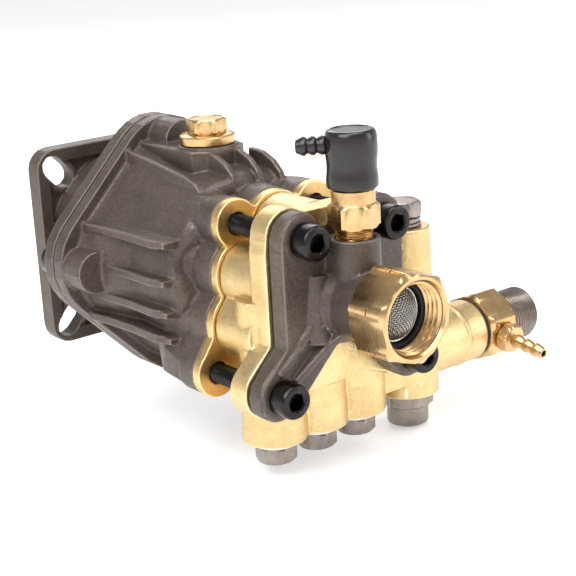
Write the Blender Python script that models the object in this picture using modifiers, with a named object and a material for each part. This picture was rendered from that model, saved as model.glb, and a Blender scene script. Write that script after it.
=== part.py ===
"""Axial-piston pressure washer pump, built as separate pieces.

Frame: the origin is on the drive shaft's axis, at the face that bolts to the engine.
+Y points into the engine, the pump runs towards -Y, and +Z is up.
Sizes are given in millimetres and written to the scene in metres.
"""

import math

import bmesh
import bpy
from mathutils import Matrix, Vector

MM = 0.001
GAP = 0.3  # clearance between neighbouring pieces
OUTLINE_STEPS = 48  # points round a free-form outline

# Stations along the shaft axis (y)
PILOT_FLOOR = -5.0
PLATE_FRONT = -8.0
PLATE_FLOOR = -5.8  # floor of the pocket in the plate's front
LOBE_BACK = -28.5
ADAPTER_FRONT = -34.6
CASE_BACK = -35.8
CASE_FLANGE_FRONT = -41.5
CAVITY_FLOOR = -72.5
SPRING_FLOOR = -91.5
CASE_FRONT = -108.0
RETAINER_BACK = CASE_FRONT - GAP
RETAINER_FRONT = -112.2
HEAD_BACK = RETAINER_FRONT - GAP
HEAD_FLANGE_BACK = -132.0
HEAD_FRONT = -141.3
COVER_BACK = -142.5
COVER_FRONT = -149.5
HUB_FRONT = -167.5
NUT_FRONT = -186.1

# Engine flange
PLATE_HALF = 41.9
PLATE_CORNER = 9.0
RIM_WIDTH = 5.5
SLOT_CENTRE = 32.0  # the slots span the 92.1 mm bolt circle's holes at 32.56
SLOT_HALF_WIDTH = 4.7
SLOT_HALF_REACH = 3.4
PILOT_RADIUS = 30.0
DRUM_RADIUS = 36.5
DIAMOND_APEX = 54.5
DIAMOND_SIDE = 45.2
CASE_SCREW_RADIUS = 45.5
CASE_SCREW_TIP = -48.0
CASE_BOSS_RADIUS = 8.5
CASE_BOSS_FRONT = -54.0
CAVITY_RADIUS = 33.0
SPRING_BORE = 10.4
RIB_REACH = 42.5
RIB_FRONT = -94.0
RIB_LEVELS = (16.3, 1.8, -10.5, -21.0)

# Oil filler
OIL_PLUG_Y = -70.5
OIL_BOSS_TOP = 46.4
OIL_BOSS_RADIUS = 12.0
OIL_THREAD_RADIUS = 6.5
OIL_FLANGE_RADIUS = 11.0
OIL_PLUG_TOP = 56.4

# Drive
SHAFT_RADIUS = 15.0
SHAFT_BORE = 9.525  # 3/4 inch engine shaft
KEY_WIDTH = 4.76
KEYWAY_REACH = 11.9
SHAFT_BACK = -6.0
SHAFT_BORE_FLOOR = -42.0
SHAFT_SEAL_RADIUS = 23.5
CAM_NECK_RADIUS = 19.0
CAM_BACK = -36.5
SWASH_TILT = math.radians(12)
SWASH_BEARING_THICKNESS = 3.0
SWASH_RACE_THICKNESS = 2.5
SWASH_FACE = -47.5
CAM_RADIUS = 30.5
BEARING_FRONT = -33.2
BEARING_BACK = -17.3
BEARING_RADIUS = 31.0
BALL_PITCH = 22.9
BALL_RADIUS = 3.3
BALLS = 8

# Plungers, on a circle round the shaft axis
PLUNGER_CIRCLE = 20.0
PLUNGER_RADIUS = 7.0
PLUNGER_FOOT = -60.5
PLUNGER_TIP = -121.5
PLUNGER_FOOT_RADIUS = 9.6
SPRING_COIL_RADIUS = 8.6
SPRING_WIRE = 0.9
SPRING_TURNS = 4
CYLINDER_RADIUS = PLUNGER_RADIUS + GAP
CYLINDER_FLOOR = -136.5
SEAL_RADIUS = 10.5
SEAL_FLOOR = -120.8

# Manifold
COLUMN_X = (-20.0, 0.0, 20.0)
UNLOADER_X = 48.5
COLUMN_Y = -128.5
COLUMN_RADIUS = 12.0
COLUMN_BOTTOM = -55.5
UNLOADER_TOP = 12.5
UNLOADER_TOP_RADIUS = 10.7
VALVE_BORE = 6.5
VALVE_SEAT = -34.0
VALVE_PORT = 4.0
INLET_PORT = 4.5
PLUG_HEX_TOP = -57.6
PLUG_BOTTOM = -64.3
PLUG_CORNER = 8.1
UNLOADER_FLOOR = -10.0
UNLOADER_CAP_TOP = 22.7
THERMAL_BOTTOM = -69.0
OUTLET_Z = -39.0
OUTLET_RADIUS = 12.6
OUTLET_END = 83.0
GALLERY_RADIUS = 3.5

# Cover and its screws
SCREW_TOP = (19.0, 24.0)
SCREW_BOTTOM = (32.05, -30.8)
SCREW_SHANK = 3.85
SCREW_HOLE = 4.2
SCREW_HEAD = 6.5
SCREW_HEAD_LENGTH = 8.0
INLET_Z = -1.9
HUB_RADIUS = 13.5
COVER_HALF_WIDTH = 28.7
COVER_TOP = 21.5  # between the two upper screws
FLANGE_TOP = 31.5
CHAMBER_RADIUS = 17.0
ARCH_RADIUS = 17.0
ARCH_Z = -37.0
COVER_SCREW_TIP = -95.5
RELIEF_Y = -155.3
RELIEF_BOSS_TOP = 22.7
RELIEF_BOSS_RADIUS = 9.2
RELIEF_THREAD = 6.8
RELIEF_BORE = 2.5
RELIEF_HEX_BOTTOM = 26.0
RELIEF_HEX_TOP = 35.2
RELIEF_HEX_CORNER = 9.6
RELIEF_COLLAR = 7.9
RELIEF_SPIGOT = 5.6
RELIEF_CAP_BOTTOM = 40.6
RELIEF_TOP = 52.0
RELIEF_CAP_TOP = 61.3
RELIEF_BARB_Z = 56.0
RELIEF_BARB_REACH = 19.5

# Swivel nut
TAILPIECE_BORE = 7.0
TAILPIECE_RADIUS = 10.0
TAILPIECE_FLANGE = 12.4
NUT_LIP_FRONT = -172.1
NUT_BORE = 13.3
NUT_CORNER = 17.9
SCREEN_RADIUS = 10.3
SCREEN_RISE = 5.5
SCREEN_ANGLES = [0.0, 0.4, 0.8, 1.2, math.pi / 2]

# Outlet fitting
INJECTOR_END = 99.3
INJECTOR_CORNER = 15.2
OUTLET_FACE = 116.0
M22_RADIUS = 11.0
SPIGOT_RADIUS = 6.2
NIPPLE_SPIGOT = 7.7
NIPPLE_BORE = 5.0
NIPPLE_BACK = 96.9
BARB_X = 92.3
BARB_SPIGOT = 3.9
BARB_END = 34.5
BALL_CHAMBER = 2.6
INJECTOR_BALL = 2.1
BARB_DROOP = math.radians(8.5)


def clear_scene():
    for obj in list(bpy.data.objects):
        bpy.data.objects.remove(obj, do_unlink=True)


def collection(name):
    made = bpy.data.collections.new(name)
    bpy.context.scene.collection.children.link(made)
    return made


def material(name, colour, roughness, metallic):
    made = bpy.data.materials.new(name)
    made.use_nodes = True
    shader = made.node_tree.nodes["Principled BSDF"]
    shader.inputs["Base Color"].default_value = (*colour, 1.0)
    shader.inputs["Roughness"].default_value = roughness
    shader.inputs["Metallic"].default_value = metallic
    return made


clear_scene()
PUMP = collection("pressure_washer_pump")
CUTTERS = collection("cutters")

FINISHES = {
    "casting": ((0.105, 0.085, 0.075), 0.55, 0.6),
    "brass": ((0.80, 0.58, 0.26), 0.32, 1.0),
    "machined_brass": ((0.72, 0.50, 0.24), 0.22, 1.0),
    "steel": ((0.30, 0.26, 0.24), 0.35, 1.0),
    "bright_steel": ((0.66, 0.64, 0.60), 0.25, 1.0),
    "black_oxide": ((0.03, 0.028, 0.028), 0.35, 0.8),
    "rubber": ((0.02, 0.02, 0.02), 0.6, 0.0),
    "black_plastic": ((0.035, 0.03, 0.03), 0.4, 0.0),
    "ceramic": ((0.85, 0.83, 0.78), 0.2, 0.0),
    "gasket": ((0.09, 0.10, 0.09), 0.8, 0.0),
    "spring_steel": ((0.45, 0.44, 0.42), 0.3, 1.0),
}


def finished(obj, name, finish):
    """Name the object, put it in the pump's collection and give it its own material."""
    for holder in list(obj.users_collection):
        holder.objects.unlink(obj)
    PUMP.objects.link(obj)
    obj.name = name
    obj.data.name = name
    obj.hide_render = False
    obj.display_type = "TEXTURED"
    colour, roughness, metallic = FINISHES[finish]
    obj.data.materials.clear()
    obj.data.materials.append(material(name, colour, roughness, metallic))
    return obj


def helper(name, mesh):
    """An object that starts as a cutter; finished() turns it into a piece."""
    obj = bpy.data.objects.new(name, mesh)
    CUTTERS.objects.link(obj)
    obj.hide_render = True
    obj.display_type = "WIRE"
    return obj


# Each solid is made about local Z, then turned so that Z lies along the named axis.
TURNED_ROTATION = {
    "X": (0, math.pi / 2, 0),
    "Y": (-math.pi / 2, 0, 0),
    "Z": (0, 0, 0),
}
PRISM_ROTATION = {
    "X": (math.pi / 2, 0, math.pi / 2),
    "Y": (math.pi / 2, 0, 0),
    "Z": (0, 0, 0),
}


def turned(profile, axis="Y", at=(0, 0, 0), steps=20):
    """A turned solid. The profile is (radius, height) points, top to bottom on the outer side."""
    mesh = bpy.data.meshes.new("turned")
    points = [(radius * MM, 0, height * MM) for radius, height in profile]
    edges = [(i, i + 1) for i in range(len(points) - 1)]
    if profile[0][0] > 0:
        edges.append((len(points) - 1, 0))
    mesh.from_pydata(points, edges, [])
    obj = helper("turned", mesh)
    obj.location = [value * MM for value in at]
    obj.rotation_euler = TURNED_ROTATION[axis]
    screw = obj.modifiers.new("turn", "SCREW")
    screw.axis = "Z"
    screw.angle = 2 * math.pi
    screw.steps = steps
    screw.render_steps = steps
    screw.use_merge_vertices = True
    screw.merge_threshold = 0.00001
    screw.use_smooth_shade = True
    return obj


def rod(radius, low, high, axis="Y", at=(0, 0, 0), steps=20, top_radius=None):
    """A plain cylinder between two heights, or a cone where its top has another radius."""
    shape = bmesh.new()
    bmesh.ops.create_cone(
        shape,
        cap_ends=True,
        segments=steps,
        radius1=radius * MM,
        radius2=(radius if top_radius is None else top_radius) * MM,
        depth=(high - low) * MM,
    )
    bmesh.ops.translate(shape, vec=(0, 0, (low + high) / 2 * MM), verts=shape.verts)
    for face in shape.faces:
        face.smooth = len(face.verts) == 4
    mesh = bpy.data.meshes.new("rod")
    shape.to_mesh(mesh)
    shape.free()
    obj = helper("rod", mesh)
    obj.location = [value * MM for value in at]
    obj.rotation_euler = TURNED_ROTATION[axis]
    return obj


def ring(inner, outer, low, high, axis="Y", at=(0, 0, 0), steps=20):
    return turned([(outer, high), (outer, low), (inner, low), (inner, high)], axis, at, steps)


def prism(outline, low, high, axis="Y", at=(0, 0, 0)):
    """A flat outline given thickness. Across Y it is (x, z), across X (y, z), across Z (x, y)."""
    outline = bent(outline)
    curve = bpy.data.curves.new("outline", "CURVE")
    curve.dimensions = "2D"
    curve.fill_mode = "BOTH"
    curve.extrude = (high - low) / 2 * MM
    spline = curve.splines.new("POLY")
    spline.points.add(len(outline) - 1)
    for point, (u, v) in zip(spline.points, outline):
        point.co = (u * MM, v * MM, 0, 1)
    spline.use_cyclic_u = True
    drawn = bpy.data.objects.new("outline", curve)
    CUTTERS.objects.link(drawn)
    graph = bpy.context.evaluated_depsgraph_get()
    mesh = bpy.data.meshes.new_from_object(drawn.evaluated_get(graph))
    bpy.data.objects.remove(drawn, do_unlink=True)
    shape = bmesh.new()
    shape.from_mesh(mesh)
    bmesh.ops.remove_doubles(shape, verts=shape.verts, dist=0.000001)
    bmesh.ops.dissolve_limit(shape, angle_limit=0.0005, verts=shape.verts, edges=shape.edges)
    bmesh.ops.recalc_face_normals(shape, faces=shape.faces)
    shape.to_mesh(mesh)
    shape.free()
    obj = helper("prism", mesh)
    obj.rotation_euler = PRISM_ROTATION[axis]
    middle = Vector([value * MM for value in at])
    middle["XYZ".index(axis)] += (low + high) / 2 * MM
    obj.location = middle
    return obj


def block(low, high):
    """A box between two corners."""
    shape = bmesh.new()
    bmesh.ops.create_cube(shape, size=1.0)
    size = [(b - a) * MM for a, b in zip(low, high)]
    centre = [(a + b) / 2 * MM for a, b in zip(low, high)]
    bmesh.ops.scale(shape, vec=size, verts=shape.verts)
    bmesh.ops.translate(shape, vec=centre, verts=shape.verts)
    mesh = bpy.data.meshes.new("block")
    shape.to_mesh(mesh)
    shape.free()
    return helper("block", mesh)


def boolean(target, tools, operation):
    for tool in tools:
        modifier = target.modifiers.new(operation.lower(), "BOOLEAN")
        modifier.operation = operation
        modifier.object = tool
    return target


def cut(target, *tools):
    return boolean(target, tools, "DIFFERENCE")


def join(target, *tools):
    return boolean(target, tools, "UNION")


def polygon(corner_radius, sides=6, turn=0.0, centre=(0, 0)):
    step = 2 * math.pi / sides
    return [
        (
            centre[0] + corner_radius * math.cos(turn + i * step),
            centre[1] + corner_radius * math.sin(turn + i * step),
        )
        for i in range(sides)
    ]


def rounded_square(half, corner, steps=4):
    points = []
    for quarter in range(4):
        middle = math.pi / 4 + quarter * math.pi / 2
        cx = math.copysign(half - corner, math.cos(middle))
        cy = math.copysign(half - corner, math.sin(middle))
        for i in range(steps + 1):
            angle = middle - math.pi / 4 + i * math.pi / 2 / steps
            points.append((cx + corner * math.cos(angle), cy + corner * math.sin(angle)))
    return points


def capsule(centre, angle, half_reach, radius, steps=5):
    """A slot's outline: two half circles joined by straight sides."""
    points = []
    for end in (1, -1):
        cx = centre[0] + end * half_reach * math.cos(angle)
        cy = centre[1] + end * half_reach * math.sin(angle)
        for i in range(steps + 1):
            at = angle + (0 if end > 0 else math.pi) - math.pi / 2 + i * math.pi / steps
            points.append((cx + radius * math.cos(at), cy + radius * math.sin(at)))
    return points


# An outline seen from the axis is the farthest of several shapes' edges in each direction.
def circle_edge(cx, cy, radius):
    def edge(angle):
        along = cx * math.cos(angle) + cy * math.sin(angle)
        inside = along * along - (cx * cx + cy * cy - radius * radius)
        return along + math.sqrt(inside) if inside >= 0 else 0.0

    return edge


def box_edge(half_width, low, high):
    def edge(angle):
        c, s = math.cos(angle), math.sin(angle)
        side = half_width / abs(c) if abs(c) > 1e-9 else math.inf
        end = (high / s if s > 0 else low / s) if abs(s) > 1e-9 else math.inf
        return min(side, end)

    return edge


def leg_edge(cx, cy, radius):
    """A rounded bar from the axis to a point."""
    reach = math.hypot(cx, cy)
    heading = math.atan2(cy, cx)
    tip = circle_edge(cx, cy, radius)

    def edge(angle):
        turn = angle - heading
        along = math.cos(turn)
        if along <= 0:
            return 0.0
        across = abs(math.sin(turn))
        side = radius / across if across > 1e-9 else math.inf
        return max(tip(angle), side if side * along <= reach else 0.0)

    return edge


def star(edges, steps=OUTLINE_STEPS):
    """The outline of several shapes joined, as points round the axis."""
    points = []
    for i in range(steps):
        angle = (i + 0.5) * 2 * math.pi / steps
        radius = max(edge(angle) for edge in edges)
        points.append((radius * math.cos(angle), radius * math.sin(angle)))
    return points


def bent(outline):
    """The outline without the points that lie on its straight stretches."""
    kept = []
    for i, (u, v) in enumerate(outline):
        before, after = outline[i - 1], outline[(i + 1) % len(outline)]
        turn = (u - before[0]) * (after[1] - v) - (v - before[1]) * (after[0] - u)
        if abs(turn) > 1e-6:
            kept.append((u, v))
    return kept


def both_sides(make, x, *rest):
    return [make(x, *rest), make(-x, *rest)]


def diamond(apex, side, steps=OUTLINE_STEPS):
    """A square standing on its corner. Its flats are at side, and its corners are rounded off at apex."""
    rounding = (side * math.sqrt(2) - apex) / (math.sqrt(2) - 1)
    centre = (side - rounding) * math.sqrt(2)
    tangent = math.atan2(rounding, centre * math.sqrt(2) + rounding)
    points = []
    for i in range(steps):
        angle = (i + 0.5) * 2 * math.pi / steps
        off = abs((angle + math.pi / 4) % (math.pi / 2) - math.pi / 4)
        if off < tangent:
            radius = centre * math.cos(off) + math.sqrt(rounding**2 - (centre * math.sin(off)) ** 2)
        else:
            radius = side / math.cos(math.pi / 4 - off)
        points.append((radius * math.cos(angle), radius * math.sin(angle)))
    return points


def collar_edges(grow):
    """The scalloped outline shared by the crankcase's mouth, the retainer and the manifold."""
    edges = [circle_edge(0, 19.4, 12.6 + grow), circle_edge(0, -8, 22 + grow)]
    edges += both_sides(circle_edge, 17.0, 5.0, 12.0 + grow)
    edges += both_sides(circle_edge, 20.0, -14.0, 12.6 + grow)
    return edges


def boss_edges(radius):
    edges = both_sides(circle_edge, *SCREW_TOP, radius)
    return edges + both_sides(leg_edge, *SCREW_BOTTOM, radius)


COVER_SCREWS = [
    (-SCREW_TOP[0], SCREW_TOP[1]),
    (SCREW_TOP[0], SCREW_TOP[1]),
    (-SCREW_BOTTOM[0], SCREW_BOTTOM[1]),
    (SCREW_BOTTOM[0], SCREW_BOTTOM[1]),
]
CASE_SCREWS = [
    (CASE_SCREW_RADIUS * math.cos(i * math.pi / 2), CASE_SCREW_RADIUS * math.sin(i * math.pi / 2))
    for i in range(4)
]
PLUNGERS = [
    (
        PLUNGER_CIRCLE * math.cos(math.radians(90 + 120 * i)),
        PLUNGER_CIRCLE * math.sin(math.radians(90 + 120 * i)),
    )
    for i in range(3)
]


def holes(centres, radius, low, high, steps=12):
    return [rod(radius, low, high, "Y", (x, 0, z), steps) for x, z in centres]


def loft(sections):
    """A closed solid through outlines of equal point count at stations along Y."""
    shape = bmesh.new()
    rings = []
    for y, outline in sections:
        rings.append([shape.verts.new((x * MM, y * MM, z * MM)) for x, z in outline])
    for near, far in zip(rings, rings[1:]):
        for i in range(len(near)):
            j = (i + 1) % len(near)
            shape.faces.new((near[i], near[j], far[j], far[i]))
    bmesh.ops.triangulate(shape, faces=shape.faces)
    shape.faces.new(rings[0])
    shape.faces.new(rings[-1])
    bmesh.ops.recalc_face_normals(shape, faces=shape.faces)
    mesh = bpy.data.meshes.new("loft")
    shape.to_mesh(mesh)
    shape.free()
    return helper("loft", mesh)


def make_adapter():
    body = prism(rounded_square(PLATE_HALF, PLATE_CORNER), PLATE_FRONT, 0)
    inner = rounded_square(PLATE_HALF - RIM_WIDTH, PLATE_CORNER - 3)
    cut(body, prism(inner, PLATE_FRONT - 1, PLATE_FLOOR))
    drum = rod(DRUM_RADIUS, ADAPTER_FRONT + 0.5, -2.0, steps=36)
    lobes = prism(diamond(DIAMOND_APEX, DIAMOND_SIDE), ADAPTER_FRONT, LOBE_BACK)
    join(body, drum, lobes)
    slots = []
    for sx, sz in ((1, 1), (-1, 1), (-1, -1), (1, -1)):
        centre = (sx * SLOT_CENTRE, sz * SLOT_CENTRE)
        angle = math.atan2(sz, sx)
        pad = capsule(centre, angle, SLOT_HALF_REACH, SLOT_HALF_WIDTH + 2.2)
        join(body, prism(pad, PLATE_FRONT + 0.6, -1.0))
        slot = capsule(centre, angle, SLOT_HALF_REACH, SLOT_HALF_WIDTH)
        slots.append(prism(slot, LOBE_BACK + 1, 5))
    bores = [
        rod(PILOT_RADIUS, PILOT_FLOOR, 5, steps=28),
        rod(SHAFT_SEAL_RADIUS + GAP, BEARING_BACK + GAP, 5, steps=28),
        rod(BEARING_RADIUS + GAP, -60, BEARING_BACK + GAP, steps=28),
    ]
    cut(body, *slots, *bores, *holes(CASE_SCREWS, SCREW_HOLE, -60, LOBE_BACK + 3))
    finished(body, "mounting_adapter", "casting")


def make_case_gasket():
    body = prism(diamond(DIAMOND_APEX - 0.6, DIAMOND_SIDE - 0.6), CASE_BACK + GAP, ADAPTER_FRONT - GAP)
    cut(body, rod(CAVITY_RADIUS + 0.5, -50, 0), *holes(CASE_SCREWS, SCREW_HOLE, -50, 0, 12))
    finished(body, "case_gasket", "gasket")


def make_crankcase():
    flange = prism(diamond(DIAMOND_APEX, DIAMOND_SIDE), CASE_FLANGE_FRONT, CASE_BACK)
    mouth = collar_edges(1.0) + boss_edges(9.2)
    waist = collar_edges(4.5) + boss_edges(8.0)
    sections = [
        (CASE_FLANGE_FRONT + 0.5, diamond(DIAMOND_APEX - 6.5, DIAMOND_SIDE - 4.0)),
        (-50.0, diamond(44.5, 39.8)),
        (-67.5, polygon(39.0, OUTLINE_STEPS, math.pi / OUTLINE_STEPS)),
        (-85.5, star([circle_edge(0, 0, 36.0)] + waist)),
        (-97.5, star(collar_edges(1.6) + boss_edges(9.2))),
        (CASE_FRONT, star(mouth)),
    ]
    body = loft(sections)
    join(body, flange)
    for x, z in CASE_SCREWS:
        join(body, rod(CASE_BOSS_RADIUS, CASE_BOSS_FRONT, CASE_BACK - 1, "Y", (x, 0, z), 16))
    join(body, rod(OIL_BOSS_RADIUS, 30.0, OIL_BOSS_TOP, "Z", (0, OIL_PLUG_Y, 0), 20))
    for z in RIB_LEVELS:
        reach = RIB_REACH - abs(z + 2) * 0.1
        join(body, block((-reach, RIB_FRONT, z - 1.2), (-24.0, CASE_FLANGE_FRONT + 1, z + 1.2)))
    spaces = [rod(CAVITY_RADIUS, CAVITY_FLOOR, -20, steps=28)]
    spaces += holes(PLUNGERS, SPRING_BORE, SPRING_FLOOR, CAVITY_FLOOR + 2, 16)
    spaces += holes(PLUNGERS, CYLINDER_RADIUS, CASE_FRONT - 2, SPRING_FLOOR + 2, 16)
    spaces += holes(CASE_SCREWS, SCREW_HOLE, CASE_SCREW_TIP - 1, -20)
    spaces += holes(COVER_SCREWS, SCREW_HOLE, CASE_FRONT - 2, COVER_SCREW_TIP + 1)
    spaces.append(rod(OIL_THREAD_RADIUS + GAP, 25.0, 60.0, "Z", (0, OIL_PLUG_Y, 0), 16))
    cut(body, *spaces)
    finished(body, "crankcase", "casting")


def make_socket_screw(name, x, z, seat, tip, facing):
    """A socket-head screw along Y. facing is the way its head points: 1 for +Y, -1 for -Y."""
    top = seat + facing * SCREW_HEAD_LENGTH
    head = rod(SCREW_HEAD, min(seat, top), max(seat, top), "Y", (x, 0, z), 16)
    shank = rod(SCREW_SHANK, min(tip, seat + facing), max(tip, seat + facing), "Y", (x, 0, z), 12)
    floor = top - facing * 4.0
    mouth = top + facing
    socket = prism(polygon(3.4, 6, 0.3), min(floor, mouth), max(floor, mouth), "Y", (x, 0, z))
    cut(join(head, shank), socket)
    finished(head, name, "black_oxide")


def make_case_screws():
    for number, (x, z) in enumerate(CASE_SCREWS, 1):
        make_socket_screw(f"case_screw_{number}", x, z, LOBE_BACK + GAP, CASE_SCREW_TIP, 1)


def make_cover_screws():
    for number, (x, z) in enumerate(COVER_SCREWS, 1):
        make_socket_screw(f"cover_screw_{number}", x, z, COVER_FRONT - GAP, COVER_SCREW_TIP, -1)


def make_oil_plug():
    at = (0, OIL_PLUG_Y, 0)
    seat = OIL_BOSS_TOP + 1.6
    body = turned(
        [
            (0, seat + 2.6),
            (OIL_FLANGE_RADIUS, seat + 2.6),
            (OIL_FLANGE_RADIUS, seat),
            (OIL_THREAD_RADIUS, seat),
            (OIL_THREAD_RADIUS, OIL_BOSS_TOP - 9),
            (0, OIL_BOSS_TOP - 9),
        ],
        "Z",
        at,
    )
    join(body, prism(polygon(8.2, 6, 0.35), seat + 1, OIL_PLUG_TOP, "Z", at))
    finished(body, "oil_filler_plug", "machined_brass")
    seal = ring(OIL_THREAD_RADIUS + GAP, OIL_FLANGE_RADIUS - 0.6, OIL_BOSS_TOP + GAP, seat - GAP, "Z", at)
    finished(seal, "oil_plug_seal", "rubber")


def make_drive_shaft():
    shaft = turned(
        [
            (0, SHAFT_BORE_FLOOR),
            (SHAFT_BORE, SHAFT_BORE_FLOOR),
            (SHAFT_BORE, SHAFT_BACK),
            (SHAFT_RADIUS, SHAFT_BACK),
            (SHAFT_RADIUS, BEARING_FRONT - GAP),
            (CAM_NECK_RADIUS, BEARING_FRONT - GAP),
            (CAM_NECK_RADIUS, CAM_BACK),
            (CAM_RADIUS, CAM_BACK),
            (CAM_RADIUS, SWASH_FACE - 12),
            (0, SWASH_FACE - 12),
        ],
        steps=28,
    )
    key_half = KEY_WIDTH / 2
    keyway = block((-key_half, SHAFT_BORE_FLOOR + 4, 0), (key_half, 5, KEYWAY_REACH))
    slope = block((-50, -80, -50), (50, 0, 50))
    slope.matrix_world = swash_frame(0) @ slope.matrix_world
    cut(shaft, keyway, slope)
    finished(shaft, "drive_shaft", "bright_steel")


def swash_frame(height):
    """The cam's sloping face: local -Y points out of it. height is the distance in front of it."""
    tilt = Matrix.Rotation(-SWASH_TILT, 4, "X")
    return Matrix.Translation((0, SWASH_FACE * MM, 0)) @ tilt @ Matrix.Translation((0, -height * MM, 0))


def make_swash_rings():
    bearing = ring(12.0, CAM_RADIUS - 1.0, -SWASH_BEARING_THICKNESS, 0)
    bearing.matrix_world = swash_frame(GAP) @ Matrix.Rotation(-math.pi / 2, 4, "X")
    finished(bearing, "swash_bearing", "bright_steel")
    race = ring(9.0, CAM_RADIUS - 0.5, -SWASH_RACE_THICKNESS, 0)
    upright = Matrix.Rotation(-math.pi / 2, 4, "X")
    race.matrix_world = swash_frame(SWASH_BEARING_THICKNESS + 2 * GAP) @ upright
    finished(race, "swash_race", "bright_steel")


def make_shaft_bearing():
    inner_edge = BALL_PITCH - BALL_RADIUS - GAP
    outer_edge = BALL_PITCH + BALL_RADIUS + GAP
    finished(
        ring(SHAFT_RADIUS + GAP, inner_edge, BEARING_FRONT, BEARING_BACK),
        "bearing_inner_race",
        "bright_steel",
    )
    finished(
        ring(outer_edge, BEARING_RADIUS, BEARING_FRONT, BEARING_BACK),
        "bearing_outer_race",
        "bright_steel",
    )
    middle = (BEARING_FRONT + BEARING_BACK) / 2
    cage = ring(BALL_PITCH - 1.2, BALL_PITCH + 1.2, middle - 2.0, middle + 2.0)
    for i in range(BALLS):
        angle = 2 * math.pi * i / BALLS
        shape = bmesh.new()
        bmesh.ops.create_uvsphere(shape, u_segments=8, v_segments=5, radius=BALL_RADIUS * MM)
        mesh = bpy.data.meshes.new("ball")
        shape.to_mesh(mesh)
        shape.free()
        ball = helper("ball", mesh)
        ball.location = (BALL_PITCH * math.cos(angle) * MM, middle * MM, BALL_PITCH * math.sin(angle) * MM)
        join(cage, ball)
    finished(cage, "bearing_cage", "bright_steel")


def make_shaft_seal():
    seal = turned(
        [
            (SHAFT_SEAL_RADIUS, -9.2),
            (SHAFT_SEAL_RADIUS, BEARING_BACK + 2 * GAP),
            (SHAFT_RADIUS + 2.4, BEARING_BACK + 2 * GAP),
            (SHAFT_RADIUS + GAP, -13.6),
            (SHAFT_RADIUS + GAP, -12.6),
            (SHAFT_RADIUS + 3.0, -9.2),
        ]
    )
    finished(seal, "shaft_seal", "rubber")


def make_plungers():
    for number, (x, z) in enumerate(PLUNGERS, 1):
        body = turned(
            [
                (0, PLUNGER_FOOT),
                (PLUNGER_FOOT_RADIUS - 1.0, PLUNGER_FOOT),
                (PLUNGER_FOOT_RADIUS, PLUNGER_FOOT - 1.0),
                (PLUNGER_FOOT_RADIUS, PLUNGER_FOOT - 3.0),
                (PLUNGER_RADIUS, PLUNGER_FOOT - 3.0),
                (PLUNGER_RADIUS, PLUNGER_TIP + 0.8),
                (PLUNGER_RADIUS - 0.8, PLUNGER_TIP),
                (0, PLUNGER_TIP),
            ],
            at=(x, 0, z),
            steps=18,
        )
        finished(body, f"plunger_{number}", "bright_steel")
        spring_start = PLUNGER_FOOT - 3.0 - GAP
        spring_end = SPRING_FLOOR + GAP
        spring = coil(SPRING_COIL_RADIUS, SPRING_WIRE, SPRING_TURNS, spring_start, spring_end)
        spring.location = (x * MM, 0, z * MM)
        finished(spring, f"plunger_spring_{number}", "spring_steel")
        seal = turned(
            [
                (SEAL_RADIUS, HEAD_BACK - GAP),
                (SEAL_RADIUS, SEAL_FLOOR + GAP),
                (CYLINDER_RADIUS, SEAL_FLOOR + GAP),
                (CYLINDER_RADIUS, HEAD_BACK - GAP),
            ],
            at=(x, 0, z),
            steps=18,
        )
        finished(seal, f"plunger_seal_{number}", "rubber")


def coil(radius, wire, turns, start, end, axis="Y", per_turn=8):
    """A round-wire compression spring between two heights."""
    curve = bpy.data.curves.new("coil", "CURVE")
    curve.dimensions = "3D"
    curve.bevel_depth = wire * MM
    curve.bevel_resolution = 2
    curve.use_fill_caps = True
    count = int(turns * per_turn) + 1
    spline = curve.splines.new("POLY")
    spline.points.add(count - 1)
    inset = math.copysign(wire, end - start)
    for i, point in enumerate(spline.points):
        part = i / (count - 1)
        angle = 2 * math.pi * turns * part
        along = (start + inset + (end - start - 2 * inset) * part) * MM
        u, v = radius * math.cos(angle) * MM, radius * math.sin(angle) * MM
        point.co = (u, along, v, 1) if axis == "Y" else (u, v, along, 1)
    made = bpy.data.objects.new("coil", curve)
    CUTTERS.objects.link(made)
    return made


def make_retainer():
    body = prism(star(collar_edges(1.0) + boss_edges(9.2)), RETAINER_FRONT, RETAINER_BACK)
    cut(
        body,
        *holes(PLUNGERS, CYLINDER_RADIUS, RETAINER_FRONT - 2, RETAINER_BACK + 2, 16),
        *holes(COVER_SCREWS, SCREW_HOLE, RETAINER_FRONT - 2, RETAINER_BACK + 2),
    )
    finished(body, "seal_retainer", "brass")


def flange_edges(grow, top):
    """The manifold's flange and the cover: upright sides, with legs to the lower screws."""
    half = COVER_HALF_WIDTH + grow
    edges = [box_edge(half, -17.0, min(top, SCREW_TOP[1])), box_edge(SCREW_TOP[0], -17.0, top)]
    return edges + boss_edges(9.5 + grow)


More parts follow.
